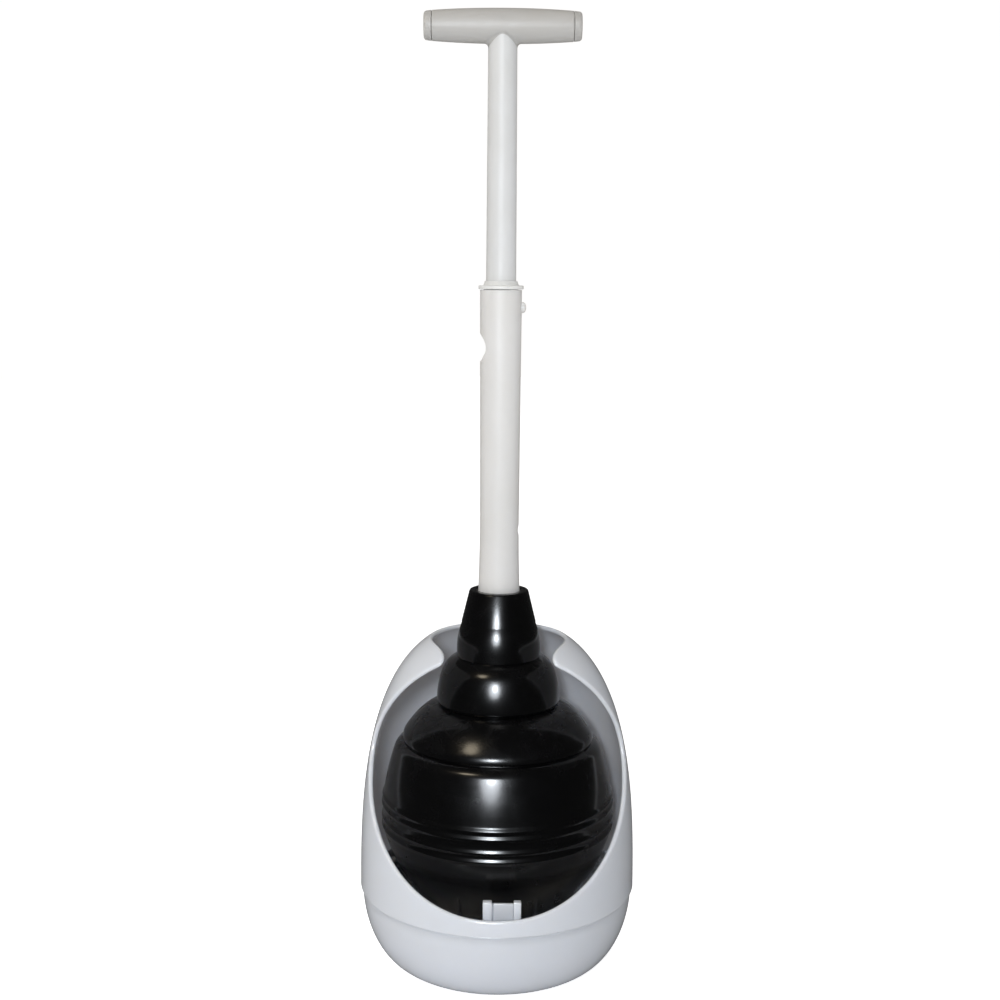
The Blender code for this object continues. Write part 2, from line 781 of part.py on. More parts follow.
def build_snap_spring():
    """A U-shaped strip: one leg backs the button, the other lies on the tube's far wall."""
    t = 0.7
    right, left = 4.6, -5.2
    foot, top = 396.0, 431.0
    bend = []
    middle = (right + left) / 2
    radius = (right - left) / 2
    for k in range(13):
        a = math.pi * k / 12
        bend.append((middle + radius * math.cos(a), foot - radius * math.sin(a)))
    line = [(right, top), *bend, (left, top)]
    inner = [(right - t, top)]
    for k in range(13):
        a = math.pi * k / 12
        inner.append((middle + (radius - t) * math.cos(a), foot - (radius - t) * math.sin(a)))
    inner.append((left + t, top))
    outline = [*line, *reversed(inner)]
    bm = bmesh.new()
    rows = [[bm.verts.new((x, y, z)) for x, z in outline] for y in (-3.2, 3.2)]
    count = len(outline)
    for k in range(count):
        n = (k + 1) % count
        bm.faces.new([rows[0][k], rows[0][n], rows[1][n], rows[1][k]])
    half = len(line)
    for row in rows:
        for k in range(half - 1):
            bm.faces.new([row[k], row[k + 1], row[count - 2 - k], row[count - 1 - k]])
    add_object("snap_spring", bm, SPRING_STEEL)


def build_foot_fixings():
    """The plug in the lower tube's foot, and the washer and screw that hold the cup to it."""
    hole = 2.8
    deep = OUTER_FOOT + 19.0
    top = OUTER_FOOT + 25.0
    r = OUTER_BORE - GAP
    loop = [
        (0.0, top),
        (r - 1.0, top),
        (r, top - 1.0),
        (r, OUTER_FOOT),
        (hole, OUTER_FOOT),
        (hole, deep),
        (0.0, deep),
    ]
    add_object("tube_end_plug", revolved(loop, ROUND_SMALL), BUSH_GREY)
    under = DIAPHRAGM_TOP - DIAPHRAGM - GAP
    washer = [(3.0, under), (15.0, under), (15.0, under - 1.6), (3.0, under - 1.6)]
    add_object("cup_washer", revolved(washer, ROUND_SMALL), SPRING_STEEL)
    seat = under - 1.6 - GAP
    shank = hole - GAP
    screw = [
        (0.0, deep - 1.5),
        (shank - 1.2, deep - 1.5),
        (shank, deep - 3.5),
        (shank, seat),
        (5.5, seat),
        (5.5, seat - 2.6),
        (4.2, seat - 3.8),
        (2.2, seat - 3.8),
        (2.2, seat - 2.0),
        (0.0, seat - 2.0),
    ]
    add_object("cup_screw", revolved(screw, ROUND_SMALL), SPRING_STEEL)


def build_base():
    base = add_object("caddy_base", revolved(base_loop(), ROUND_BIG), CADDY_WHITE)
    for k in range(4):
        a = math.radians(45 + 90 * k)
        x, y = FOOT_RING * math.cos(a), FOOT_RING * math.sin(a)
        drill(base, FOOT_R + GAP, (x, y, BASE_BOTTOM - 2.0), (x, y, BASE_BOTTOM + 1.3))


def build_feet():
    """Four soft discs, each held in a shallow pocket of the base."""
    for k in range(4):
        a = math.radians(45 + 90 * k)
        x, y = FOOT_RING * math.cos(a), FOOT_RING * math.sin(a)
        loop = [
            (0.0, 0.0),
            (FOOT_R - 0.6, 0.0),
            (FOOT_R, 0.5),
            (FOOT_R, BASE_BOTTOM + 1.0),
            (0.0, BASE_BOTTOM + 1.0),
        ]
        add_object(f"foot_pad_{k + 1}", revolved(loop, ROUND_SMALL, "Z", (x, y, 0)), PAD_BLACK)


def main():
    clear_scene()
    add_object("bellows_cup", revolved(cup_loop(), ROUND_CUP), CUP_BLACK)
    add_object("caddy_shell", shell_mesh(ROUND_SHELL, RINGS_SHELL), CADDY_WHITE)
    build_base()
    build_tray()
    build_feet()
    build_outer_tube()
    build_collar()
    build_inner_tube()
    build_guide_bush()
    build_handle()
    build_button()
    build_snap_spring()
    build_foot_fixings()


main()
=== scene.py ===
import math

import bmesh
import bpy
from mathutils import Euler, Matrix, Vector


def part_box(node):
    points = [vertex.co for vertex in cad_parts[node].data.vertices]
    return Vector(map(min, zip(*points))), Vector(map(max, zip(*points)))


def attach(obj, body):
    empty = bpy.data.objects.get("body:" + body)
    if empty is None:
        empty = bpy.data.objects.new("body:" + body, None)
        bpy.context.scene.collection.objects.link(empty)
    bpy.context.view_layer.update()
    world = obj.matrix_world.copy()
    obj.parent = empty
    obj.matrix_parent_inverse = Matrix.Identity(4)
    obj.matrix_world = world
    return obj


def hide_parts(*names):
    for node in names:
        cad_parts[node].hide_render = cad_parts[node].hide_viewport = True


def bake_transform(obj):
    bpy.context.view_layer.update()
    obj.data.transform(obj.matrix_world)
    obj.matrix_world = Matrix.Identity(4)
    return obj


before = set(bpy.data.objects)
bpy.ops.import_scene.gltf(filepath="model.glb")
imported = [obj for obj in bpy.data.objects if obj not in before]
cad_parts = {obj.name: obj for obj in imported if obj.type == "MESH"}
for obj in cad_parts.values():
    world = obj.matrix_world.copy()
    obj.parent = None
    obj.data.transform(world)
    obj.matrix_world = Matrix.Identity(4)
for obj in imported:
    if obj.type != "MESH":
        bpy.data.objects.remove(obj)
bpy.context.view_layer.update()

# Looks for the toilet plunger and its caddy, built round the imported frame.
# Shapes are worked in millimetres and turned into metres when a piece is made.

MM = 0.001


def span(node):
    """A CAD node's lowest and highest corner in mm."""
    low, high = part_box(node)
    return low / MM, high / MM


# ---- driving dimensions, mm -------------------------------------------------
# _R is a radius, _Z a height above the floor. The boxes come from the CAD nodes.
BAR_HIGH = span("t_handle")[1]
CAP_LOW, CAP_HIGH = span("end_cap_right")
INNER_LOW, INNER_HIGH = span("inner_tube")
OUTER_LOW, OUTER_HIGH = span("outer_tube")
COLLAR_LOW, COLLAR_HIGH = span("collar_bush")
BUTTON_LOW, BUTTON_HIGH = span("lock_button")
CUP_LOW, CUP_HIGH = span("bellows_cup")
SHELL_LOW = span("caddy_shell")[0]
BASE_LOW, BASE_HIGH = span("caddy_base")
TRAY_LOW, TRAY_HIGH = span("drip_tray")

# Crossbar and its end caps. CAP_GAP is the joint line, CAP_PLUG the length inside the bar.
BAR_Z = (CAP_LOW.z + CAP_HIGH.z) / 2
BAR_HALF = CAP_HIGH.x
BAR_R_MID = 10.5
BAR_R_END = 8.6
BAR_POWER = 2.2
BAR_BODY_HALF = BAR_HIGH.x
CAP_GAP = 0.3
CAP_PLUG_R = 6.2
CAP_PLUG = 9.0
CAP_ROUND = 2.2
SOCKET_FILLET = 2.6

# Tubes, collar and button. The lower tube narrows to a waist between its foot and its top.
INNER_R = 9.4
INNER_R_TOP = 8.9
INNER_BORE = 7.2
OUTER_BORE = 10.9
OUTER_R_TOP = 13.1
OUTER_R_WAIST = 12.4
OUTER_R_FOOT = 13.3
WAIST_Z = 292.0
COLLAR_R = 14.1
COLLAR_TOP = COLLAR_HIGH.z - 2.7
COLLAR_BORE = 9.65
WINDOW_Z = 401.0
WINDOW_R = 9.0
DRILL_REACH = 20
BUTTON_Z = (BUTTON_LOW.z + BUTTON_HIGH.z) / 2
BUTTON_HOLE_R = 3.7
BUTTON_NOSE = 2.0
SPRING_THICK = 0.7
TRAVEL = 141.0

# Rubber cup, from the neck down through the four tiers to the lip.
NECK_TOP = CUP_HIGH.z
NECK_RIM_R = 19.1
NECK_FOOT_R = 24.0
NECK_FOOT_Z = 225.0
NECK_GROOVE = 0.4
NECK_BORE = 13.6
CEILING_Z = 197.0
DIAPHRAGM_TOP = 203.0
SCREW_HOLE_R = 3.3
CUP_WALL = 3.2
LIP_Z = CUP_LOW.z
LIP_R = 52.0
LIP_POWER = 1.25
LIP_BULGE = 1.2
RIM_ROUND = 1.0
LIP_ROUND = 1.2
CEILING_ROUND = 1.5
TIER_1_R = 27.0
TIER_1_WIDEST = 208.0
TIER_2_TOP = 202.8
TIER_2_R = 39.8
TIER_2_WIDEST = 174.0
TIER_2_BARREL = 55.0
TIER_2_SHOULDER = 15.0
TIER_2_SHOULDER_Z = 194.0
TIER_3_TOP = 171.0
TIER_3_R = 62.0
TIER_3_NOSE = 8.6
TIER_3_NOSE_Z = 149.0
TIER_3_NOSE_SHARE = 0.57
TIER_3_POWER = 0.52
TIER_3_TUCK = 1.2
TIER_4_TOP = 147.5
TIER_4_SHOULDER = 9.5
TIER_4_SHOULDER_Z = 141.0
TIER_4_R = 75.0
TIER_4_WIDEST = 105.0
TIER_4_FOOT = 90.0
TIER_4_NARROWING = 7.2
TIER_4_POWER = 1.6
CREASE_TUCK = 1.9
BEADS = (111.0, 106.0, 97.3, 91.6)
BEAD_HEIGHT = 0.9
BEAD_REACH = 1.5
WALL_SAMPLES = 24

# Shell: a superellipse dome with an egg-shaped opening that runs up into a channel to the
# crown's hole. The two horns on either side of the channel are rounded off.
SHELL_R = 89.8
SHELL_FOOT = 50.0
SHELL_CENTRE = 40.0
SHELL_RISE = 184.0
SHELL_POWER = 2.8
SHELL_WALL = 3.0
CROWN_HOLE_R = 43.6
TIP_GAP_HALF = 33.5
EGG_CENTRE = 131.0
EGG_HALF_WIDTH = 82.4
EGG_BELOW = 70.8
EGG_ABOVE = 84.5
EGG_POWER = 2.2
EGG_SCALE = 72.0
CHANNEL_FOOT = 190.0
HORN_ROUND = 5.0
SKIRT_FOOT = SHELL_LOW.z
SKIRT_R = 86.6
SKIRT_BORE = 84.9
SKIRT_BLEND = 2.0

# Base, tray and tab. The tray lies on the base's ledge and on a ring that stands in its well.
BASE_TOP = BASE_HIGH.z
BASE_BOTTOM = BASE_LOW.z
BASE_R = BASE_HIGH.x
BASE_FLOOR_R = 62.0
BASE_WALL = 3.4
BASE_POWER = 1.9
BASE_FLOOR = 3.0
WELL_EDGE = 5.0
RING_BORE = 45.0
RING_R = 48.0
FIT_GAP = 0.3
PADS = 4
PAD_DEPTH = 1.3
TRAY_Z = TRAY_LOW.z
TRAY_T = 3.0
TRAY_R = 84.0
TRAY_WALL = 2.4
TRAY_RIM_TOP = 43.8
RIBS = 6
RIB_TOP = 44.0
RIB_START = 28.0
RIB_END = 64.0
RIB_HALF = 1.5
RIB_ROOT = 0.5
TAB_TOP = TRAY_HIGH.z
TAB_WIDTH = 23.4
TAB_Y = -82.0
TAB_X = 3.3

# How finely surfaces are divided. EDGE_ values steer the cut along the shell's opening.
ROUND_FINE = 144
ROUND_TUBE = 112
SHELL_SEGMENTS = 240
SHELL_RINGS = 110
EDGE_BAND = 12.0
EDGE_HALVINGS = 18
EDGE_SNAP = 0.3
EDGE_STEPS = 8
SMOOTH_ANGLE = math.radians(40)

# ---- colours, linear rgb ----------------------------------------------------
# The crossbar's and caps' tints are darker than the tubes': their own greyish warm tone plus painted
# shade for the dimmer light on the bar.
BAR_SHADED_TINT = (0.52, 0.505, 0.485)
CAP_SHADED_TINT = (0.505, 0.49, 0.47)
UPPER_TUBE_TINT = (0.70, 0.697, 0.695)
LOWER_TUBE_TINT = (0.735, 0.718, 0.704)
COLLAR_TINT = (0.79, 0.785, 0.77)
BUTTON_TINT = (0.79, 0.78, 0.76)
SHELL_TINT = (0.78, 0.80, 0.855)
BASE_TINT = (0.77, 0.79, 0.845)
TRAY_TINT = (0.765, 0.785, 0.84)
HANDLE_AGING = (0.955, 0.95, 0.935)
CADDY_AGING = (0.975, 0.97, 0.96)
RUBBER_BLACK = (0.0013, 0.0013, 0.0015)
RUBBER_DUST = (0.006, 0.006, 0.0065)
NYLON_CLEAN = (0.55, 0.55, 0.54)
NYLON_DULL = (0.47, 0.47, 0.45)
STEEL_BRIGHT = (0.62, 0.62, 0.63)
STEEL_STAINED = (0.48, 0.47, 0.45)
PAD_BLACK = (0.05, 0.05, 0.05)
PAD_WORN = (0.08, 0.078, 0.074)
FLOOR_PALE = (0.86, 0.86, 0.86)
FLOOR_CLOUD = (0.84, 0.84, 0.845)
COOL_LIGHT = (0.88, 0.935, 1.0)
SHEEN_LIGHT = (0.88, 0.94, 1.0)
WARM_LIGHT = (1.0, 0.87, 0.66)
FILL_LIGHT = (1.0, 0.99, 0.97)
SKY_LIGHT = (1.0, 0.995, 0.985, 1.0)

# ---- light and camera -------------------------------------------------------
# What floor and sky show to the camera and in gloss, then the fill's aim (m) and spread
# (degrees), and the camera with its place in metres and its turns in degrees.
FLOOR_GLOW = 0.76
FLOOR_IN_GLOSS = 0.04
SKY_IN_GLOSS = 0.035
SKY_SEEN = 1.02
FILL_AIM = 0.46
FILL_SPREAD = 40
LENS_MM = 52.2
SENSOR_MM = 36.0
CAMERA_AT = (0.0003, -0.916, 0.441)
CAMERA_DOWN = 8.5
CAMERA_ROLL = 0.42


# ---- mesh helpers -----------------------------------------------------------
def make_piece(name, bm, material, body=None, replaces=()):
    """Turn a bmesh in mm into a shown piece in metres and hang it on its body."""
    bmesh.ops.recalc_face_normals(bm, faces=bm.faces[:])
    bmesh.ops.scale(bm, vec=(MM, MM, MM), verts=bm.verts[:])
    mesh = bpy.data.meshes.new(name)
    bm.to_mesh(mesh)
    bm.free()
    piece = bpy.data.objects.new(name, mesh)
    bpy.context.scene.collection.objects.link(piece)
    mesh.materials.append(material)
    mesh.shade_smooth()
    mesh.set_sharp_from_angle(angle=SMOOTH_ANGLE)
    if replaces:
        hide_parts(*replaces)
    if body:
        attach(piece, body)
    return piece


def revolved(loop, segments, axis="Z", centre=(0.0, 0.0, 0.0)):
    """Revolve a closed (radius, height) outline. Points at radius 0 become poles."""
    bm = bmesh.new()
    rings = []
    for r, h in loop:
        count = 1 if r < 1e-9 else segments
        ring = []
        for k in range(count):
            a = 2 * math.pi * (k + 0.5) / segments
            x, y, z = r * math.cos(a), r * math.sin(a), h
            if axis == "X":
                x, y, z = z, x, y
            ring.append(bm.verts.new((x + centre[0], y + centre[1], z + centre[2])))
        rings.append(ring)
    for a, b in zip(rings, rings[1:] + rings[:1]):
        if len(a) == 1 and len(b) == 1:
            continue
        for k in range(segments):
            n = (k + 1) % segments
            corners = [a[k % len(a)], a[n % len(a)], b[n % len(b)], b[k % len(b)]]
            bm.faces.new(list(dict.fromkeys(corners)))
    return bm


def rounded(loop, steps=5):
    """Round the corners of a closed outline. Each corner is (r, z) or (r, z, fillet radius)."""
    longest_share = 0.48
    out = []
    count = len(loop)
    for k in range(count):
        here = Vector(loop[k][:2])
        fillet = loop[k][2] if len(loop[k]) > 2 else 0.0
        before = Vector(loop[k - 1][:2]) - here
        after = Vector(loop[(k + 1) % count][:2]) - here
        if fillet <= 0 or before.length < 1e-6 or after.length < 1e-6:
            out.append(tuple(here))
            continue
        angle = before.angle(after)
        reach = fillet / math.tan(angle / 2)
        reach = min(reach, longest_share * before.length, longest_share * after.length)
        start = here + before.normalized() * reach
        end = here + after.normalized() * reach
        for n in range(steps + 1):
            t = n / steps
            out.append(tuple(start * (1 - t) ** 2 + here * (2 * t * (1 - t)) + end * t**2))
    return out


def thinned(points, tolerance):
    """Drop the points of a polyline that lie within a tolerance of its chords."""
    (x0, y0), (x1, y1) = points[0], points[-1]
    length = math.hypot(x1 - x0, y1 - y0) or 1e-9
    worst, at = 0.0, 0
    for k, (x, y) in enumerate(points[1:-1], 1):
        off = abs((x1 - x0) * (y0 - y) - (x0 - x) * (y1 - y0)) / length
        if off > worst:
            worst, at = off, k
    if worst <= tolerance:
        return [points[0], points[-1]]
    return thinned(points[: at + 1], tolerance)[:-1] + thinned(points[at:], tolerance)


def soft_box(bm, low, high, edge, turn=0.0, shift=(0.0, 0.0)):
    """Add a box with rounded edges to a bmesh, turned about Z and then shifted."""
    part = bmesh.new()
    verts = [part.verts.new([(low, high)[(n >> k) & 1][k] for k in range(3)]) for n in range(8)]
    sides = [(0, 2, 3, 1), (4, 5, 7, 6), (0, 1, 5, 4), (2, 6, 7, 3), (0, 4, 6, 2), (1, 3, 7, 5)]
    for side in sides:
        part.faces.new([verts[k] for k in side])
    bmesh.ops.recalc_face_normals(part, faces=part.faces[:])
    edges = part.edges[:]
    bmesh.ops.bevel(part, geom=edges, offset=edge, segments=3, profile=0.5, affect="EDGES")
    place = Matrix.Translation((shift[0], shift[1], 0.0)) @ Matrix.Rotation(turn, 4, "Z")
    bmesh.ops.transform(part, matrix=place, verts=part.verts[:])
    scratch = bpy.data.meshes.new("soft_box")
    part.to_mesh(scratch)
    part.free()
    bm.from_mesh(scratch)
    bpy.data.meshes.remove(scratch)


def drill(piece, radius, start, end, segments=64):
    """Cut a round hole between two points (mm) through a finished piece."""
    a, b = Vector(start), Vector(end)
    bm = bmesh.new()
    bmesh.ops.create_cone(
        bm, cap_ends=True, segments=segments, radius1=radius, radius2=radius, depth=(b - a).length
    )
    turn = Vector((0, 0, 1)).rotation_difference(b - a).to_matrix().to_4x4()
    bmesh.ops.transform(bm, matrix=Matrix.Translation((a + b) / 2) @ turn, verts=bm.verts[:])
    bmesh.ops.scale(bm, vec=(MM, MM, MM), verts=bm.verts[:])
    mesh = bpy.data.meshes.new("drill")
    bm.to_mesh(mesh)
    bm.free()
    cutter = bpy.data.objects.new("drill", mesh)
    bpy.context.scene.collection.objects.link(cutter)
    cut = piece.modifiers.new("cut", "BOOLEAN")
    cut.solver = "EXACT"
    cut.operation = "DIFFERENCE"
    cut.object = cutter
    graph = bpy.context.evaluated_depsgraph_get()
    made = bpy.data.meshes.new_from_object(piece.evaluated_get(graph))
    piece.modifiers.clear()
    piece.data = made
    made.shade_smooth()
    made.set_sharp_from_angle(angle=SMOOTH_ANGLE)
    bpy.data.objects.remove(cutter, do_unlink=True)


# ---- material helpers -------------------------------------------------------
class Nodes:
    """Short calls for building a material's node tree."""

    def __init__(self, name):
        self.mat = bpy.data.materials.new(name)
        self.mat.use_nodes = True
        self.tree = self.mat.node_tree
        self.shader = self.tree.nodes["Principled BSDF"]
        self.coords = self.add("TexCoord").outputs["Object"]

    def add(self, kind, **inputs):
        """A new node, with some of its inputs set."""
        node = self.tree.nodes.new("ShaderNode" + kind)
        for key, value in inputs.items():
            node.inputs[key.replace("_", " ")].default_value = value
        return node

    def link(self, out, socket):
        """Join an output to an input."""
        self.tree.links.new(out, socket)

    def stretched(self, scale):
        """Object coordinates scaled along each axis."""
        node = self.add("Mapping", Scale=scale)
        self.link(self.coords, node.inputs["Vector"])
        return node.outputs["Vector"]

    def noise(self, scale, detail, coords=None, distortion=0.0):
        """Noise over the object's coordinates, or over stretched ones."""
        node = self.add("TexNoise", Scale=scale, Detail=detail, Distortion=distortion)
        self.link(coords or self.coords, node.inputs["Vector"])
        return node.outputs["Fac"]

    def ranged(self, value, low, high, from_low=0.3, from_high=0.7):
        """Map a value onto low to high. Noise lies mostly between the two default limits."""
        limits = {"From_Min": from_low, "From_Max": from_high, "To_Min": low, "To_Max": high}
        node = self.add("MapRange", **limits)
        self.link(value, node.inputs["Value"])
        return node.outputs["Result"]

    def maths(self, operation, a, b):
        """One sum or product of two numbers or sockets."""
        node = self.add("Math")
        node.operation = operation
        for socket, value in zip(node.inputs, (a, b)):
            if isinstance(value, (int, float)):
                socket.default_value = value
            else:
                self.link(value, socket)
        return node.outputs[0]

    def mixed(self, factor, a, b):
        """A colour between two rgb triples."""
        node = self.add("Mix")
        node.data_type = "RGBA"
        self.link(factor, node.inputs["Factor"])
        node.inputs[6].default_value = (*a, 1.0)
        node.inputs[7].default_value = (*b, 1.0)
        return node.outputs[2]

    def bumped(self, heights):
        """Chain of bumps from (height, strength, distance in metres)."""
        normal = None
        for height, strength, distance in heights:
            node = self.add("Bump", Strength=strength, Distance=distance)
            self.link(height, node.inputs["Height"])
            if normal:
                self.link(normal, node.inputs["Normal"])
            normal = node.outputs["Normal"]
        self.link(normal, self.shader.inputs["Normal"])

    def scatter(self, weight, reach):
        """Light that enters the plastic and comes out up to about a reach (metres) away."""
        self.shader.inputs["Subsurface Weight"].default_value = weight
        self.shader.inputs["Subsurface Scale"].default_value = reach
        self.shader.inputs["Subsurface Radius"].default_value = (1.0, 0.95, 0.9)

    def set(self, **values):
        """Set the shader's inputs from numbers or sockets."""
        for key, value in values.items():
            socket = self.shader.inputs[key.replace("_", " ")]
            if isinstance(value, (int, float)):
                socket.default_value = value
            else:
                self.link(value, socket)


def handle_plastic(name, tint):
    """Warm off-white moulded plastic with a fine grain and faint lines along its length."""
    n = Nodes(name)
    cloud = n.noise(28.0, detail=4.0)
    lines = n.noise(420.0, detail=2.0, coords=n.stretched((1.0, 1.0, 0.03)))
    grain = n.noise(2600.0, detail=2.0)
    scuff = n.noise(160.0, detail=6.0, distortion=0.8)
    worn = tuple(c * k for c, k in zip(tint, HANDLE_AGING))
    colour = n.mixed(n.ranged(cloud, 0.0, 1.0), tint, worn)
    rough = n.maths("ADD", n.ranged(scuff, 0.40, 0.52), n.ranged(grain, -0.02, 0.02))
    n.set(Base_Color=colour, Roughness=rough, IOR=1.49, Specular_IOR_Level=0.35)
    n.scatter(weight=0.25, reach=0.004)
    n.bumped([(lines, 0.10, 0.00006), (grain, 0.12, 0.00004)])
    return n.mat


def caddy_plastic(name, tint):
    """Cool glossy moulded plastic, slightly wavy, with fine scuffs."""
    n = Nodes(name)
    wave = n.noise(16.0, detail=2.0)
    cloud = n.noise(9.0, detail=3.0)
    scuff = n.noise(340.0, detail=8.0, distortion=1.2)
    grain = n.noise(1800.0, detail=2.0)
    aged = tuple(c * k for c, k in zip(tint, CADDY_AGING))
    colour = n.mixed(n.ranged(cloud, 0.0, 1.0), tint, aged)
    rough = n.maths("ADD", n.ranged(scuff, 0.11, 0.2, 0.45, 0.75), n.ranged(grain, 0.0, 0.015))
    n.set(Base_Color=colour, Roughness=rough, IOR=1.5)
    n.scatter(weight=0.65, reach=0.007)
    n.bumped([(wave, 0.25, 0.0006), (grain, 0.05, 0.00002)])
    return n.mat


def cup_rubber(name):
    """Glossy black rubber with a little bloom and dust where it faces up."""
    n = Nodes(name)
    geometry = n.add("NewGeometry")
    split = n.add("SeparateXYZ")
    n.link(geometry.outputs["Normal"], split.inputs["Vector"])
    wave = n.noise(34.0, detail=2.0)
    bloom = n.noise(75.0, detail=6.0, distortion=0.6)
    grain = n.noise(1500.0, detail=3.0)
    facing_up = n.ranged(split.outputs["Z"], 0.0, 1.0, 0.2, 1.0)
    dust = n.maths("MULTIPLY", facing_up, n.ranged(bloom, 0.0, 0.45, 0.4, 0.7))
    colour = n.mixed(dust, RUBBER_BLACK, RUBBER_DUST)
    rough = n.maths("ADD", n.ranged(bloom, 0.22, 0.28), n.maths("MULTIPLY", dust, 0.12))
    n.set(Base_Color=colour, Roughness=rough, IOR=1.5, Specular_IOR_Level=0.25)
    n.set(Coat_Weight=0.45, Coat_IOR=1.5, Coat_Roughness=n.ranged(bloom, 0.14, 0.18))
    n.bumped([(wave, 0.3, 0.0004), (grain, 0.08, 0.00002)])
    return n.mat


def bush_nylon(name):
    """Undyed nylon with a fine grain."""
    n = Nodes(name)
    cloud = n.noise(60.0, detail=4.0)
    grain = n.noise(1900.0, detail=2.0)
    colour = n.mixed(n.ranged(cloud, 0.0, 1.0), NYLON_CLEAN, NYLON_DULL)
    n.set(Base_Color=colour, Roughness=n.ranged(grain, 0.42, 0.55), IOR=1.53)
    n.bumped([(grain, 0.15, 0.00003)])
    return n.mat


def brushed_steel(name):
    """Steel with brush lines along Z and faint stains."""
    n = Nodes(name)
    lines = n.noise(900.0, detail=3.0, coords=n.stretched((1.0, 1.0, 0.05)))
    stain = n.noise(130.0, detail=5.0)
    colour = n.mixed(n.ranged(stain, 0.0, 1.0), STEEL_BRIGHT, STEEL_STAINED)
    n.set(Base_Color=colour, Metallic=1.0, Roughness=n.ranged(lines, 0.24, 0.4))
    n.bumped([(lines, 0.2, 0.00003)])
    return n.mat


def pad_rubber(name):
    """Matt dark rubber, worn paler in patches."""
    n = Nodes(name)
    grain = n.noise(2400.0, detail=4.0)
    cloud = n.noise(120.0, detail=4.0)
    colour = n.mixed(n.ranged(cloud, 0.0, 1.0), PAD_BLACK, PAD_WORN)
    n.set(Base_Color=colour, Roughness=n.ranged(grain, 0.62, 0.78))
    n.bumped([(grain, 0.3, 0.00006)])
    return n.mat


def handle_piece(name, bm, tint, body, node):
    """A piece of handle plastic in its own tint, which replaces one CAD node."""
    plastic = handle_plastic(f"{name}_plastic", tint)
    return make_piece(name, bm, plastic, body, (node,))


def caddy_piece(name, bm, tint, node):
    """A piece of caddy plastic in its own tint, which replaces one CAD node."""
    plastic = caddy_plastic(f"{name}_plastic", tint)
    return make_piece(name, bm, plastic, "caddy", (node,))


# ---- bellows cup ------------------------------------------------------------
def arc_radius(z, centre_z, centre_r, radius):
    """Radius at a height on the outer side of an arc round (centre_r, centre_z)."""
    return centre_r + math.sqrt(max(radius**2 - (z - centre_z) ** 2, 0.0))


def arc_from(z, start_z, start_r, slope, radius):
    """Radius of an arc that leaves (start_r, start_z) upwards at a slope from upright."""
    lean = math.atan(slope)
    centre_z = start_z - radius * math.sin(lean)
    centre_r = start_r - radius * math.cos(lean)
    return arc_radius(z, centre_z, centre_r, radius)


def tier_2_radius(z):
    """The second tier: a barrel side under a tight shoulder, tucked in at its foot."""
    if z < TIER_2_WIDEST:
        t = (TIER_2_WIDEST - z) / (TIER_2_WIDEST - TIER_3_TOP)
        return TIER_2_R - CREASE_TUCK * t**2
    side = TIER_2_R - TIER_2_BARREL
    if z < TIER_2_SHOULDER_Z:
        return arc_radius(z, TIER_2_WIDEST, side, TIER_2_BARREL)
    rise = TIER_2_SHOULDER_Z - TIER_2_WIDEST
    start = arc_radius(TIER_2_SHOULDER_Z, TIER_2_WIDEST, side, TIER_2_BARREL)
    slope = rise / math.sqrt(TIER_2_BARREL**2 - rise**2)
    return arc_from(z, TIER_2_SHOULDER_Z, start, slope, TIER_2_SHOULDER)


def tier_3_radius(z):
    """The third tier: a wide slope down to a rounded nose."""
    if z < TIER_3_NOSE_Z:
        t = (TIER_3_NOSE_Z - z) / (TIER_3_NOSE_Z - TIER_4_TOP)
        return TIER_3_R - TIER_3_TUCK * t**2
    nose_top = TIER_3_NOSE_Z + TIER_3_NOSE_SHARE * TIER_3_NOSE
    nose = arc_radius(min(z, nose_top), TIER_3_NOSE_Z, TIER_3_R - TIER_3_NOSE, TIER_3_NOSE)
    if z <= nose_top:
        return nose
    start = TIER_2_R - CREASE_TUCK
    t = (TIER_3_TOP - z) / (TIER_3_TOP - nose_top)
    return start + (nose - start) * t**TIER_3_POWER


def tier_4_radius(z):
    """The fourth tier: a tall side that narrows upwards into a rounded shoulder."""
    rise = TIER_4_SHOULDER_Z - TIER_4_WIDEST
    if z < TIER_4_SHOULDER_Z:
        t = max(z - TIER_4_WIDEST, 0.0) / rise
        return TIER_4_R - TIER_4_NARROWING * t**TIER_4_POWER
    slope = TIER_4_NARROWING * TIER_4_POWER / rise
    start = TIER_4_R - TIER_4_NARROWING
    return arc_from(z, TIER_4_SHOULDER_Z, start, slope, TIER_4_SHOULDER)


def cup_radius(z):
    """Outer radius of the cup: a conical neck, four widening tiers and a tucked-in lip."""
    if z >= NECK_FOOT_Z:
        t = (z - NECK_FOOT_Z) / (NECK_TOP - RIM_ROUND - NECK_FOOT_Z)
        r = NECK_FOOT_R + (NECK_RIM_R - NECK_FOOT_R) * min(t, 1.0)
    elif z >= TIER_2_TOP:
        t = max(z - TIER_1_WIDEST, 0.0) / (NECK_FOOT_Z - TIER_1_WIDEST)
        r = TIER_1_R - (TIER_1_R - NECK_FOOT_R + NECK_GROOVE) * t**2
    elif z >= TIER_3_TOP:
        r = tier_2_radius(z)
    elif z >= TIER_4_TOP:
        r = tier_3_radius(z)
    elif z >= TIER_4_FOOT:
        r = tier_4_radius(z)
    else:
        t = (TIER_4_FOOT - z) / (TIER_4_FOOT - LIP_Z)
        r = TIER_4_R - (TIER_4_R - LIP_R) * t**LIP_POWER
        r += LIP_BULGE * math.sin(math.pi * t) ** 2
    for centre in BEADS:
        r += BEAD_HEIGHT * math.exp(-(((z - centre) / BEAD_REACH) ** 2))
    return r


def cup_inner_radius(z):
    """Inner radius that leaves a full wall's thickness from every point outside."""
    best = math.inf
    for k in range(WALL_SAMPLES + 1):
        dz = CUP_WALL * (2 * k / WALL_SAMPLES - 1)
        outside = min(max(z + dz, LIP_Z), NECK_TOP - RIM_ROUND)
        best = min(best, cup_radius(outside) - math.sqrt(max(CUP_WALL**2 - dz**2, 0.0)))
    return best


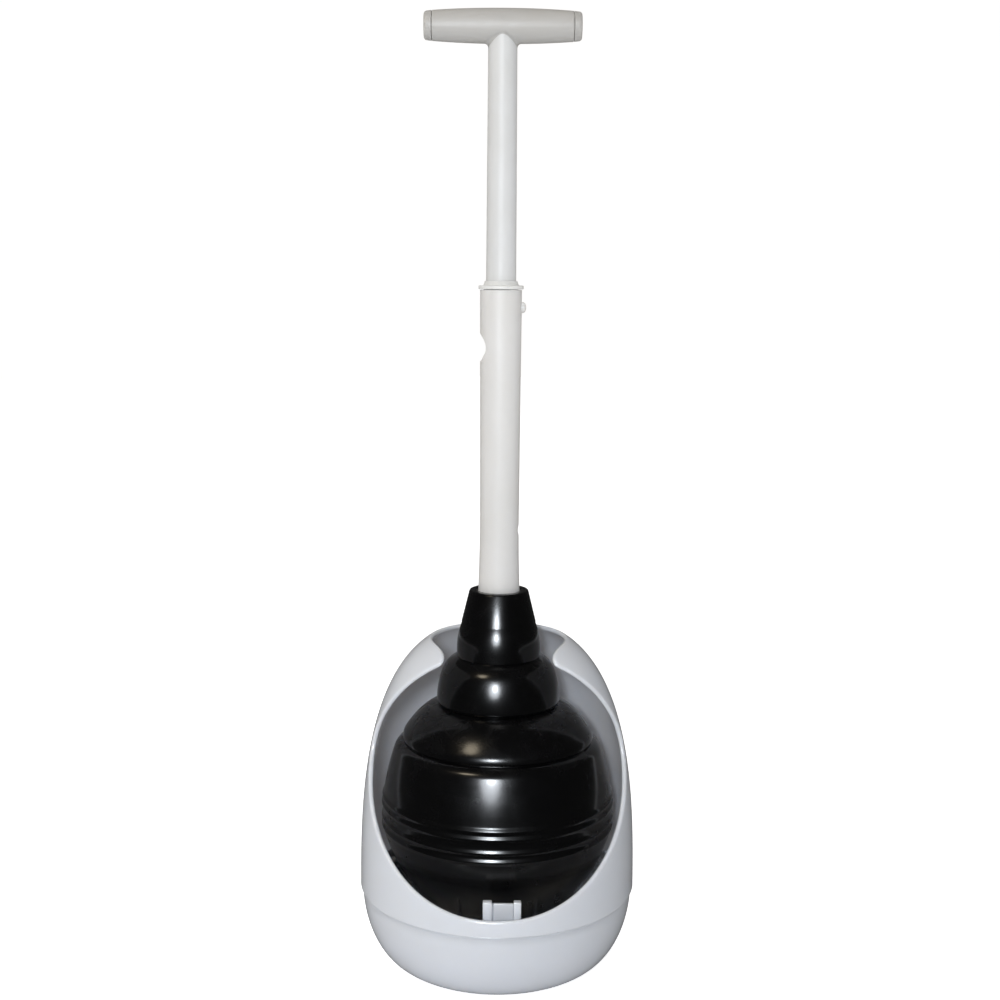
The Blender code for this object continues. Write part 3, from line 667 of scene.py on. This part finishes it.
def heights(top, foot, step=0.2):
    """Even steps from a top down to a foot."""
    count = int((top - foot) / step)
    return [top - (top - foot) * k / count for k in range(count + 1)]


def build_cup():
    """One moulding, revolved from the neck's rim down to the lip. On the real plunger the lip stays with
    the cup's body and the neck sinks with the shaft.
    """
    lip_start = LIP_Z + LIP_ROUND
    outer = [(cup_radius(z), z) for z in heights(NECK_TOP - RIM_ROUND, lip_start)]
    inner = [(cup_inner_radius(z), z) for z in heights(CEILING_Z - CEILING_ROUND, lip_start)]
    outer = thinned(outer, 0.02)
    inner = thinned(list(reversed(inner)), 0.1)
    # The rim's and the lip's small edge rounds, as offsets in mm.
    rim = [(NECK_BORE, NECK_TOP - 0.8), (NECK_BORE + 0.3, NECK_TOP - 0.25)]
    rim += [(NECK_BORE + 0.8, NECK_TOP), (NECK_RIM_R - 1.2, NECK_TOP)]
    rim += [(NECK_RIM_R - 0.4, NECK_TOP - 0.3)]
    lip = [(LIP_R - 0.3, LIP_Z + 0.4), (LIP_R - 0.9, LIP_Z)]
    lip += [(LIP_R - CUP_WALL + 0.7, LIP_Z), (LIP_R - CUP_WALL + 0.1, LIP_Z + 0.4)]
    roof = [(inner[-1][0] - CEILING_ROUND, CEILING_Z), (SCREW_HOLE_R, CEILING_Z)]
    well = [(SCREW_HOLE_R, DIAPHRAGM_TOP), (NECK_BORE, DIAPHRAGM_TOP)]
    loop = rim + outer + lip + inner + roof + well
    cup = make_piece(
        "rubber_cup",
        revolved(loop, ROUND_FINE),
        cup_rubber("cup_rubber"),
        replaces=("bellows_cup",),
    )
    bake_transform(cup)


# ---- caddy shell ------------------------------------------------------------
def shell_radius(z):
    """Outer radius of the dome at a height."""
    t = max(z - SHELL_CENTRE, 0.0) / SHELL_RISE
    return SHELL_R * max(1 - t**SHELL_POWER, 0.0) ** (1 / SHELL_POWER)


def smooth_min(a, b, k):
    """The smaller of two distances, with their corner rounded over a width k."""
    h = max(k - abs(a - b), 0.0) / k
    return min(a, b) - h * h * k * 0.25


def shell_keep(p):
    """Positive where the shell has wall, negative in the opening and the crown hole."""
    x, y, z = p
    crown = math.hypot(x, y) - CROWN_HOLE_R
    half_height = EGG_ABOVE if z > EGG_CENTRE else EGG_BELOW
    power = 2.0 if z > EGG_CENTRE else EGG_POWER
    u = abs(x) / EGG_HALF_WIDTH
    v = abs(z - EGG_CENTRE) / half_height
    egg = ((u**power + v**power) ** (1 / power) - 1) * EGG_SCALE
    channel = max(abs(x) - TIP_GAP_HALF, CHANNEL_FOOT - z)
    front = max(smooth_min(egg, channel, HORN_ROUND), y)
    return smooth_min(crown, front, 2 * HORN_ROUND)


class ShellSurface:
    """The shell's outer surface over (angle index, meridian index)."""

    def __init__(self):
        """Space the meridian's points evenly, from just over the foot to past the crown hole."""
        path = []
        start, past_hole, step = 0.5, 1.5, 0.02
        z = SHELL_FOOT + start
        while shell_radius(z) > CROWN_HOLE_R - past_hole:
            path.append(Vector((shell_radius(z), z)))
            z += step
        length = [0.0]
        for a, b in zip(path, path[1:]):
            length.append(length[-1] + (b - a).length)
        self.line = []
        k = 0
        for n in range(SHELL_RINGS + 1):
            while k < len(length) - 1 and length[k] < length[-1] * n / SHELL_RINGS:
                k += 1
            self.line.append(path[k])

    def at(self, u, v):
        """Point and outward normal at a place on the grid."""
        last = len(self.line) - 1
        k = min(int(v), last - 1)
        p = self.line[k].lerp(self.line[k + 1], v - k)
        slopes = []
        for n in (k, k + 1):
            step = self.line[min(n + 1, last)] - self.line[max(n - 1, 0)]
            slopes.append(Vector((step.y, -step.x)).normalized())
        side = slopes[0].lerp(slopes[1], v - k).normalized()
        a = 2 * math.pi * (u + 0.5) / SHELL_SEGMENTS - math.pi / 2
        turn = Vector((math.cos(a), math.sin(a)))
        point = Vector((p.x * turn.x, p.x * turn.y, p.y))
        return point, Vector((side.x * turn.x, side.x * turn.y, side.y))

    def edge(self, u, v):
        """Distance to the opening's edge along the surface, and the way towards it."""
        point, normal = self.at(u, v)
        here = shell_keep(point)
        step, flattest = 0.05, 0.25
        slopes = [
            (shell_keep(point + d * step) - shell_keep(point - d * step)) / (2 * step)
            for d in Matrix.Identity(3)
        ]
        rise = Vector(slopes)
        rise -= normal * rise.dot(normal)
        size = max(rise.length, flattest)
        return here / size - SHELL_WALL / 2, -rise.normalized()


def grid_triangles():
    """The grid's triangles as corner numbers, with mirrored diagonals left and right."""
    n = SHELL_SEGMENTS
    triangles = []
    for j in range(SHELL_RINGS):
        for i in range(n):
            a, b = j * n + i, j * n + (i + 1) % n
            c, d = b + n, a + n
            triangles += [(a, b, c), (a, c, d)] if i < n // 2 else [(a, b, d), (b, c, d)]
    return triangles


def clipped_grid(surface):
    """The shell's grid, cut along the opening's edge: its corners and its polygons."""
    n = SHELL_SEGMENTS
    corners = [[i, j] for j in range(SHELL_RINGS + 1) for i in range(n)]
    value = []
    for u, v in corners:
        rough = shell_keep(surface.at(u, v)[0])
        value.append(surface.edge(u, v)[0] if abs(rough) < EDGE_BAND else rough)

    def near(a, b):
        """Corner b shifted by a whole turn where that brings it next to corner a."""
        u = corners[b][0]
        return (u - n * round((u - corners[a][0]) / n), corners[b][1])

    def crossing(kept, cut):
        """Where the side between a kept and a cut corner meets the edge: its share and place."""
        low, high = 0.0, 1.0
        a, b = corners[kept], near(kept, cut)
        for _ in range(EDGE_HALVINGS):
            mid = (low + high) / 2
            at = [a[k] + (b[k] - a[k]) * mid for k in range(2)]
            low, high = (mid, high) if surface.edge(*at)[0] > 0 else (low, mid)
        t = (low + high) / 2
        return t, [a[k] + (b[k] - a[k]) * t for k in range(2)]

    triangles = grid_triangles()
    # A corner that lies close to the edge is moved onto it, so that no sliver is cut there.
    moves = {}
    for t in triangles:
        for a, b in zip(t, t[1:] + t[:1]):
            if value[a] * value[b] >= 0:
                continue
            kept, cut = (a, b) if value[a] > 0 else (b, a)
            share, point = crossing(kept, cut)
            for end, part in ((kept, share), (cut, 1 - share)):
                if part < EDGE_SNAP and part < moves.get(end, (1.0, None))[0]:
                    shift = n * round((corners[end][0] - point[0]) / n)
                    moves[end] = (part, [point[0] + shift, point[1]])
    for end, (_, point) in moves.items():
        corners[end] = point
        value[end] = 0.0
    # The triangles that still cross the edge are cut, each side once for both its neighbours.
    made = {}
    polygons = []
    for t in triangles:
        if max(value[k] for k in t) <= 0:
            continue
        outline = []
        for a, b in zip(t, t[1:] + t[:1]):
            if value[a] >= 0:
                outline.append(a)
            if value[a] * value[b] < 0:
                kept, cut = (a, b) if value[a] > 0 else (b, a)
                if (kept, cut) not in made:
                    corners.append(crossing(kept, cut)[1])
                    value.append(0.0)
                    made[(kept, cut)] = len(corners) - 1
                outline.append(made[(kept, cut)])
        polygons.append(outline)
    return corners, polygons


def build_shell():
    """Outer and inner skins joined by a half-round lip at the opening and a skirt at the foot."""
    surface = ShellSurface()
    corners, polygons = clipped_grid(surface)
    bm = bmesh.new()
    outer, inner, foot = {}, {}, {}
    for k in sorted({k for p in polygons for k in p}):
        u, v = corners[k]
        point, normal = surface.at(u, v)
        outer[k] = bm.verts.new(point)
        if v > 1e-9:
            inner[k] = bm.verts.new(point - normal * SHELL_WALL)
            continue
        # The foot's rounded edge and the skirt that drops into the base's rebate.
        ring = [(SHELL_R - 0.06, SHELL_FOOT + 0.25), (SHELL_R - 0.4, SHELL_FOOT)]
        ring += [(SKIRT_R, SHELL_FOOT), (SKIRT_R, SKIRT_FOOT), (SKIRT_BORE, SKIRT_FOOT)]
        flat = Vector((point.x, point.y)).normalized()
        foot[k] = [bm.verts.new((flat.x * r, flat.y * r, z)) for r, z in ring]
        top = SHELL_FOOT + SKIRT_BLEND
        inner[k] = bm.verts.new((flat.x * SKIRT_BORE, flat.y * SKIRT_BORE, top))
    border = {}
    for p in polygons:
        bm.faces.new([outer[k] for k in p])
        bm.faces.new([inner[k] for k in reversed(p)])
        for a, b in zip(p, p[1:] + p[:1]):
            key = tuple(sorted((a, b)))
            border[key] = border.get(key, 0) + 1
    lips = {}

    def lip(k):
        """The half round from the outer skin to the inner one at an edge corner."""
        if k not in lips:
            u, v = corners[k]
            point, normal = surface.at(u, v)
            out = surface.edge(u, v)[1]
            half = SHELL_WALL / 2
            centre = point - normal * half
            row = []
            for m in range(1, EDGE_STEPS):
                a = math.pi * m / EDGE_STEPS
                row.append(bm.verts.new(centre + (normal * math.cos(a) + out * math.sin(a)) * half))
            lips[k] = [outer[k], *row, inner[k]]
        return lips[k]

    for (a, b), count in border.items():
        if count != 1:
            continue
        if a in foot and b in foot:
            rows = [[outer[k], *foot[k], inner[k]] for k in (a, b)]
        else:
            rows = [lip(a), lip(b)]
        for (p, q), (r, s) in zip(zip(*rows), list(zip(*rows))[1:]):
            bm.faces.new([p, q, s, r])
    caddy_piece("shell", bm, SHELL_TINT, "caddy_shell")


# ---- caddy base, tray and feet ----------------------------------------------
def base_radius(z):
    """Outer radius of the bowl at a height."""
    t = min(max((BASE_TOP - z) / (BASE_TOP - BASE_BOTTOM), 0.0), 1.0)
    return BASE_FLOOR_R + (BASE_R - BASE_FLOOR_R) * max(1 - t**BASE_POWER, 0.0) ** (1 / BASE_POWER)


def build_base():
    """The bowl with its well, the tray's ledge and the shell's rebate, and then its pads."""
    rise = BASE_TOP - BASE_BOTTOM
    count, edge_height = 160, 0.7
    zs = [BASE_BOTTOM + rise * (1 - math.sin(math.pi / 2 * k / count)) for k in range(count)]
    outer = [p for p in thinned([(base_radius(z), z) for z in zs], 0.02) if p[1] < BASE_TOP - edge_height]
    # The rim's rounded edge, as offsets in mm.
    edge = [(BASE_R - 0.75, BASE_TOP), (BASE_R - 0.3, BASE_TOP - 0.15), (BASE_R - 0.05, BASE_TOP - 0.6)]
    floor = BASE_BOTTOM + BASE_FLOOR
    seat = TRAY_Z - FIT_GAP
    step = SKIRT_FOOT - FIT_GAP
    bore, rebate = TRAY_R + 0.4, SKIRT_R + FIT_GAP
    side_foot, count = floor + WELL_EDGE, 40
    zs = [side_foot + (seat - floor - WELL_EDGE) * k / count for k in range(count + 1)]
    inner = thinned([(base_radius(z) - BASE_WALL - 1.0, z) for z in zs], 0.1)
    well = [(0.0, floor), (RING_BORE, floor), (RING_BORE, seat), (RING_R, seat), (RING_R, floor)]
    well += [(base_radius(side_foot) - BASE_WALL - WELL_EDGE, floor)]
    ledge = [(bore, seat), (bore, step), (rebate, step), (rebate, BASE_TOP)]
    loop = [*edge, *outer, (0.0, BASE_BOTTOM), *well, *inner, *ledge]
    base = caddy_piece("base", revolved(loop, ROUND_FINE), BASE_TINT, "caddy_base")
    for k in range(1, PADS + 1):
        build_pad(base, k)


def build_pad(base, k):
    """A soft disc and the pocket that holds it under the base."""
    low, high = span(f"foot_pad_{k}")
    x, y = (low.x + high.x) / 2, (low.y + high.y) / 2
    radius = (high.x - low.x) / 2
    drill(base, radius + FIT_GAP, (x, y, BASE_BOTTOM - 2.0), (x, y, BASE_BOTTOM + PAD_DEPTH))
    pad = rounded([(0.0, low.z), (radius, low.z, 0.8), (radius, high.z, 0.2), (0.0, high.z)])
    bm = revolved(pad, 48, "Z", (x, y, 0.0))
    rubber = pad_rubber(f"pad_rubber_{k}")
    make_piece(f"pad_{k}", bm, rubber, "caddy", (f"foot_pad_{k}",))


def build_tray():
    """The tray with its rim, its ribs under the cup's lip and the tab at the front."""
    top = TRAY_Z + TRAY_T
    wall = TRAY_R - TRAY_WALL
    loop = [
        (TRAY_R, TRAY_RIM_TOP, 0.6),
        (TRAY_R, TRAY_Z, 0.8),
        (0.0, TRAY_Z),
        (0.0, top),
        (wall, top, 2.0),
        (wall, TRAY_RIM_TOP, 0.6),
    ]
    bm = revolved(rounded(loop), ROUND_FINE)
    foot = top - RIB_ROOT
    for k in range(RIBS):
        start, end = (RIB_START, -RIB_HALF, foot), (RIB_END, RIB_HALF, RIB_TOP)
        soft_box(bm, start, end, 0.5, math.radians(360 / RIBS * k))
    half = TAB_WIDTH / 2
    # The tab's recessed panel, its left and right ribs, and the wall behind the panel.
    parts = [
        ((-half + 6.4, TAB_Y + 0.9, foot), (half - 4.8, TAB_Y + 3.2, TAB_TOP - 1.0)),
        ((-half, TAB_Y, foot), (-half + 5.6, TAB_Y + 5.0, TAB_TOP)),
        ((half - 4.6, TAB_Y, foot), (half, TAB_Y + 5.0, TAB_TOP)),
        ((-half + 5.0, TAB_Y + 1.9, foot), (half - 4.0, TAB_Y + 4.2, TAB_TOP - 1.6)),
    ]
    for low, high in parts:
        soft_box(bm, low, high, 0.6, shift=(TAB_X, 0.0))
    caddy_piece("tray", bm, TRAY_TINT, "drip_tray")


# ---- tubes and handle -------------------------------------------------------
def outer_tube_radius(z):
    """Outer radius of the lower tube at a height."""
    if z > WAIST_Z:
        t = (z - WAIST_Z) / (OUTER_HIGH.z - WAIST_Z)
        return OUTER_R_WAIST + (OUTER_R_TOP - OUTER_R_WAIST) * t
    t = min((WAIST_Z - z) / (WAIST_Z - NECK_TOP), 1.0)
    return OUTER_R_WAIST + (OUTER_R_FOOT - OUTER_R_WAIST) * t**2


def build_outer_tube():
    """The lower tube with two button holes on its right and a round window on its left."""
    foot, top, count = OUTER_LOW.z, OUTER_HIGH.z, 90
    zs = [top - (top - foot) * k / count for k in range(count + 1)]
    outside = thinned([(outer_tube_radius(z), z) for z in zs], 0.01)
    loop = [
        (outside[0][0], outside[0][1], 0.5),
        *outside[1:-1],
        (outside[-1][0], outside[-1][1], 0.5),
        (OUTER_BORE, foot),
        (OUTER_BORE, top, 0.3),
    ]
    bm = revolved(rounded(loop), ROUND_TUBE)
    tube = handle_piece("lower_tube", bm, LOWER_TUBE_TINT, "shaft", "outer_tube")
    for z in (BUTTON_Z, BUTTON_Z - TRAVEL):
        drill(tube, BUTTON_HOLE_R, (0, 0, z), (DRILL_REACH, 0, z))
    drill(tube, WINDOW_R, (-DRILL_REACH, 0, WINDOW_Z), (0, 0, WINDOW_Z), 96)


def build_inner_tube():
    """The upper tube, which narrows above the collar, with the button's hole."""
    foot, top = INNER_LOW.z, INNER_HIGH.z
    loop = [
        (INNER_R_TOP, top, 0.3),
        (INNER_R_TOP, BAR_Z - BAR_R_MID),
        (INNER_R, COLLAR_HIGH.z),
        (INNER_R, foot, 0.4),
        (INNER_BORE, foot),
        (INNER_BORE, top),
    ]
    bm = revolved(rounded(loop), ROUND_TUBE)
    tube = handle_piece("upper_tube", bm, UPPER_TUBE_TINT, "handle", "inner_tube")
    drill(tube, BUTTON_HOLE_R, (0, 0, BUTTON_Z), (DRILL_REACH, 0, BUTTON_Z))


def build_collar():
    """The bush in the lower tube's mouth, with its flange above and its sleeve inside."""
    sleeve = OUTER_BORE - 0.3
    seat = OUTER_HIGH.z + 0.3
    loop = [
        (COLLAR_BORE + 0.5, COLLAR_HIGH.z, 0.2),
        (COLLAR_BORE + 1.5, COLLAR_TOP, 0.4),
        (COLLAR_R, COLLAR_TOP, 0.8),
        (COLLAR_R, seat, 0.5),
        (sleeve, seat, 0.2),
        (sleeve, COLLAR_LOW.z, 0.4),
        (COLLAR_BORE, COLLAR_LOW.z),
        (COLLAR_BORE, COLLAR_HIGH.z, 0.2),
    ]
    bm = revolved(rounded(loop), ROUND_TUBE)
    handle_piece("collar", bm, COLLAR_TINT, "shaft", "collar_bush")


def build_button():
    """The snap button: a short pin with a rounded nose."""
    r = (BUTTON_HIGH.z - BUTTON_LOW.z) / 2
    tip, back = BUTTON_HIGH.x, BUTTON_LOW.x
    nose, steps = [], 8
    for k in range(steps + 1):
        a = math.pi / 2 * k / steps
        nose.append((r * math.sin(a), tip - BUTTON_NOSE * (1 - math.cos(a))))
    loop = rounded([*nose, (r, back, 0.3), (0.0, back)])
    bm = revolved(loop, 64, "X", (0, 0, BUTTON_Z))
    handle_piece("button", bm, BUTTON_TINT, "button", "lock_button")


def build_spring():
    """The U-shaped leaf spring, made as one piece on no body. In use one leg follows the button and the
    other stays on the tube's wall.
    """
    low, high = span("snap_spring")
    thick, steps = SPRING_THICK, 32
    middle, radius = (low.x + high.x) / 2, (high.x - low.x) / 2
    foot, top = low.z + radius, high.z
    line = [(high.x, top)]
    inner = [(high.x - thick, top)]
    for k in range(steps + 1):
        a = math.pi * k / steps
        across, down = math.cos(a), math.sin(a)
        line.append((middle + radius * across, foot - radius * down))
        inner.append((middle + (radius - thick) * across, foot - (radius - thick) * down))
    line.append((low.x, top))
    inner.append((low.x + thick, top))
    bm = bmesh.new()
    edge = 0.15
    rows = []
    for y, inset in ((low.y, edge), (low.y + edge, 0.0), (high.y - edge, 0.0), (high.y, edge)):
        share = inset / thick
        row = []
        for (x0, z0), (x1, z1) in zip(line, inner):
            near = (x0 + (x1 - x0) * share, y, z0 + (z1 - z0) * share)
            far = (x1 + (x0 - x1) * share, y, z1 + (z0 - z1) * share)
            row.append((bm.verts.new(near), bm.verts.new(far)))
        rows.append(row)
    for a, b in zip(rows, rows[1:]):
        for side in (0, 1):
            for k in range(len(line) - 1):
                bm.faces.new([a[k][side], a[k + 1][side], b[k + 1][side], b[k][side]])
        for k in (0, -1):
            bm.faces.new([a[k][0], a[k][1], b[k][1], b[k][0]])
    for row in (rows[0], rows[-1]):
        for k in range(len(line) - 1):
            bm.faces.new([row[k][0], row[k + 1][0], row[k + 1][1], row[k][1]])
    steel = brushed_steel("spring_steel")
    spring = make_piece("spring", bm, steel, replaces=("snap_spring",))
    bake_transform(spring)


def bar_radius(x):
    """Radius of the barrel-shaped crossbar at a distance from its middle."""
    return BAR_R_MID - (BAR_R_MID - BAR_R_END) * min(abs(x) / BAR_HALF, 1.0) ** BAR_POWER


def socket_fillet(bm):
    """A swept fillet where the upper tube runs into the crossbar."""
    stem, f, bar = INNER_R_TOP + 0.02, SOCKET_FILLET, bar_radius(INNER_R_TOP + SOCKET_FILLET)
    segments, steps = 96, 8
    columns = []
    for n in range(segments):
        a = 2 * math.pi * n / segments
        across = Vector((math.cos(a), math.sin(a)))
        side = (stem + f) * across.y
        centre = Vector(
            ((stem + f) * across.x, side, -math.sqrt(max((bar + f) ** 2 - side**2, 0.0)))
        )
        on_stem = Vector((stem * across.x, stem * across.y, centre.z))
        on_bar = Vector((centre.x, centre.y * bar / (bar + f), centre.z * bar / (bar + f)))
        column = []
        for m in range(steps + 1):
            way = (on_stem - centre).normalized().slerp((on_bar - centre).normalized(), m / steps)
            column.append(bm.verts.new(centre + way * f + Vector((0, 0, BAR_Z))))
        column.append(bm.verts.new((on_stem.x * 0.96, on_stem.y * 0.96, BAR_Z - 4.0)))
        columns.append(column)
    for n in range(segments):
        a, b = columns[n], columns[(n + 1) % segments]
        for m in range(len(a)):
            k = (m + 1) % len(a)
            bm.faces.new([a[m], b[m], b[k], a[k]])


def build_crossbar():
    """The hollow bar with its socket, and the fillet round the socket."""
    half, count = BAR_BODY_HALF, 80
    xs = [half - 2 * half * k / count for k in range(count + 1)]
    body = thinned([(bar_radius(x), x) for x in xs], 0.01)
    hole, recess = CAP_PLUG_R + FIT_GAP, half - CAP_PLUG - FIT_GAP
    loop = [
        (body[0][0], body[0][1], 0.3),
        *body[1:-1],
        (body[-1][0], body[-1][1], 0.3),
        (hole, -half),
        (hole, -recess),
        (0.0, -recess),
        (0.0, recess),
        (hole, recess),
        (hole, half),
    ]
    bm = revolved(rounded(loop), ROUND_TUBE, "X", (0, 0, BAR_Z))
    # The bar's tint carries painted shade for the dimmer light on the bar.
    bar = handle_piece("crossbar", bm, BAR_SHADED_TINT, "handle", "t_handle")
    socket_top = INNER_HIGH.z + FIT_GAP
    drill(bar, INNER_R_TOP + FIT_GAP, (0, 0, BAR_Z - 30), (0, 0, socket_top), 96)
    fillet = bmesh.new()
    socket_fillet(fillet)
    make_piece("crossbar_fillet", fillet, bar.data.materials[0], "handle")


def build_cap(side, name):
    """A press-in cap for the bar's end on one side, -1 for the left and 1 for the right."""
    face = BAR_BODY_HALF + CAP_GAP
    profile = [
        (0.0, side * BAR_HALF),
        (BAR_R_END - 0.2, side * BAR_HALF, CAP_ROUND),
        (bar_radius(face), side * face, 0.3),
        (CAP_PLUG_R, side * face),
        (CAP_PLUG_R, side * (face - CAP_PLUG), 0.4),
        (0.0, side * (face - CAP_PLUG)),
    ]
    bm = revolved(rounded(profile, 8), ROUND_TUBE, "X", (0, 0, BAR_Z))
    # The caps' tint carries painted shade, as the bar's does.
    handle_piece(f"cap_{name}", bm, CAP_SHADED_TINT, "handle", f"end_cap_{name}")


def finish_carried_nodes():
    """The CAD nodes that stay in view get their own procedural materials."""
    kinds = {
        "guide_bush": bush_nylon,
        "tube_end_plug": bush_nylon,
        "cup_washer": brushed_steel,
        "cup_screw": brushed_steel,
    }
    for node, kind in kinds.items():
        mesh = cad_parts[node].data
        mesh.materials.clear()
        mesh.materials.append(kind(f"{node}_finish"))


# ---- floor, light and camera ------------------------------------------------
def build_floor():
    """A pale painted floor, brightened for the camera and dimmed in reflections."""
    bm = bmesh.new()
    bmesh.ops.create_circle(bm, cap_ends=True, segments=96, radius=6.0)
    mesh = bpy.data.meshes.new("floor")
    bm.to_mesh(mesh)
    bm.free()
    floor = bpy.data.objects.new("floor", mesh)
    bpy.context.scene.collection.objects.link(floor)
    n = Nodes("floor_paint")
    cloud = n.noise(3.0, detail=3.0)
    colour = n.mixed(n.ranged(cloud, 0.0, 1.0), FLOOR_PALE, FLOOR_CLOUD)
    n.set(Base_Color=colour, Roughness=0.9, Specular_IOR_Level=0.1)
    glow = n.add("Emission")
    seen = n.add("LightPath").outputs["Is Camera Ray"]
    strength = n.maths("MULTIPLY", seen, FLOOR_GLOW)
    n.link(strength, glow.inputs["Strength"])
    both = n.add("AddShader")
    n.link(n.shader.outputs[0], both.inputs[0])
    n.link(glow.outputs[0], both.inputs[1])
    dim = n.add("Emission", Strength=FLOOR_IN_GLOSS)
    reflected = n.add("LightPath").outputs["Is Glossy Ray"]
    choice = n.add("MixShader")
    n.link(reflected, choice.inputs[0])
    n.link(both.outputs[0], choice.inputs[1])
    n.link(dim.outputs[0], choice.inputs[2])
    n.link(choice.outputs[0], n.tree.nodes["Material Output"].inputs["Surface"])
    mesh.materials.append(n.mat)


def area_light(name, azimuth, elevation, distance, size, radiance, colour, aim=0.15):
    """A soft round light aimed at a height on the axis, placed by its direction from there.

    Angles are in degrees, lengths in metres. Azimuth 0 is in front and 90 on the right.
    """
    target = Vector((0.0, 0.0, aim))
    a, e = math.radians(azimuth), math.radians(elevation)
    way = Vector((math.sin(a) * math.cos(e), -math.cos(a) * math.cos(e), math.sin(e)))
    data = bpy.data.lights.new(name, "AREA")
    data.shape = "DISK"
    data.size = size
    data.energy = radiance * math.pi * math.pi * size**2 / 4
    data.color = colour
    light = bpy.data.objects.new(name, data)
    light.location = target + way * distance
    light.rotation_euler = way.to_track_quat("Z", "Y").to_euler()
    bpy.context.scene.collection.objects.link(light)
    return light


def build_lights():
    """Four lights round the object.

    A small key in front, a warm light high on the left, a wide sheen seen only in gloss, and a
    narrow fill on the tubes from the right, which gloss doesn't show.
    """
    area_light("key", -6.0, 19.0, distance=1.6, size=0.20, radiance=119.0, colour=COOL_LIGHT)
    area_light("warm", -42.0, 50.0, distance=1.5, size=0.36, radiance=9.0, colour=WARM_LIGHT)
    sheen = area_light("sheen", -7.0, 17.0, distance=1.65, size=0.62, radiance=17.0, colour=SHEEN_LIGHT)
    sheen.visible_diffuse = False
    fill = area_light(
        "fill", 80.0, 3.0, distance=0.9, size=0.36, radiance=0.42, colour=FILL_LIGHT, aim=FILL_AIM
    )
    fill.data.spread = math.radians(FILL_SPREAD)
    fill.visible_glossy = False


def build_world():
    """Soft studio light: one glow from the front left above, one from behind, dim in gloss."""
    world = bpy.data.worlds.new("studio")
    world.use_nodes = True
    bpy.context.scene.world = world
    tree = world.node_tree
    nodes, links = tree.nodes, tree.links
    background = nodes["Background"]
    direction = nodes.new("ShaderNodeTexCoord").outputs["Generated"]

    def glow_from(way, reach, low, high):
        """Light that grows smoothly towards one direction, from low at the cosine reach."""
        dot = nodes.new("ShaderNodeVectorMath")
        dot.operation = "DOT_PRODUCT"
        dot.inputs[1].default_value = Vector(way).normalized()
        links.new(direction, dot.inputs[0])
        soft = nodes.new("ShaderNodeMapRange")
        soft.interpolation_type = "SMOOTHSTEP"
        soft.inputs["From Min"].default_value = reach
        soft.inputs["To Min"].default_value = low
        soft.inputs["To Max"].default_value = high
        links.new(dot.outputs["Value"], soft.inputs["Value"])
        return soft.outputs["Result"]

    total = nodes.new("ShaderNodeMath")
    total.operation = "ADD"
    front_left = glow_from((-0.40, -0.45, 0.80), reach=-0.6, low=0.02, high=0.40)
    behind = glow_from((-0.25, 0.93, 0.25), reach=0.1, low=0.0, high=0.80)
    links.new(front_left, total.inputs[0])
    links.new(behind, total.inputs[1])
    path = nodes.new("ShaderNodeLightPath")

    def choose(is_ray, otherwise, value):
        """A fixed strength for one kind of ray, and another socket for the rest."""
        mix = nodes.new("ShaderNodeMix")
        mix.data_type = "FLOAT"
        links.new(is_ray, mix.inputs["Factor"])
        links.new(otherwise, mix.inputs[2])
        mix.inputs[3].default_value = value
        return mix.outputs[0]

    glossy = choose(path.outputs["Is Glossy Ray"], total.outputs[0], SKY_IN_GLOSS)
    seen = choose(path.outputs["Is Camera Ray"], glossy, SKY_SEEN)
    links.new(seen, background.inputs["Strength"])
    background.inputs["Color"].default_value = SKY_LIGHT


def build_camera():
    """The photograph's viewpoint, in front, tilted down and turned a little about its axis."""
    data = bpy.data.cameras.new("camera")
    data.lens = LENS_MM
    data.sensor_width = SENSOR_MM
    camera = bpy.data.objects.new("camera", data)
    place = Matrix.Translation(CAMERA_AT)
    tilt = Euler((math.radians(90 - CAMERA_DOWN), 0, 0)).to_matrix().to_4x4()
    camera.matrix_world = place @ tilt @ Matrix.Rotation(math.radians(CAMERA_ROLL), 4, "Z")
    bpy.context.scene.collection.objects.link(camera)
    bpy.context.scene.camera = camera


build_cup()
build_shell()
build_base()
build_tray()
build_outer_tube()
build_inner_tube()
build_collar()
build_button()
build_spring()
build_crossbar()
build_cap(-1, "left")
build_cap(1, "right")
finish_carried_nodes()
build_floor()
build_lights()
build_world()
build_camera()
bpy.context.scene.view_settings.view_transform = "Standard"
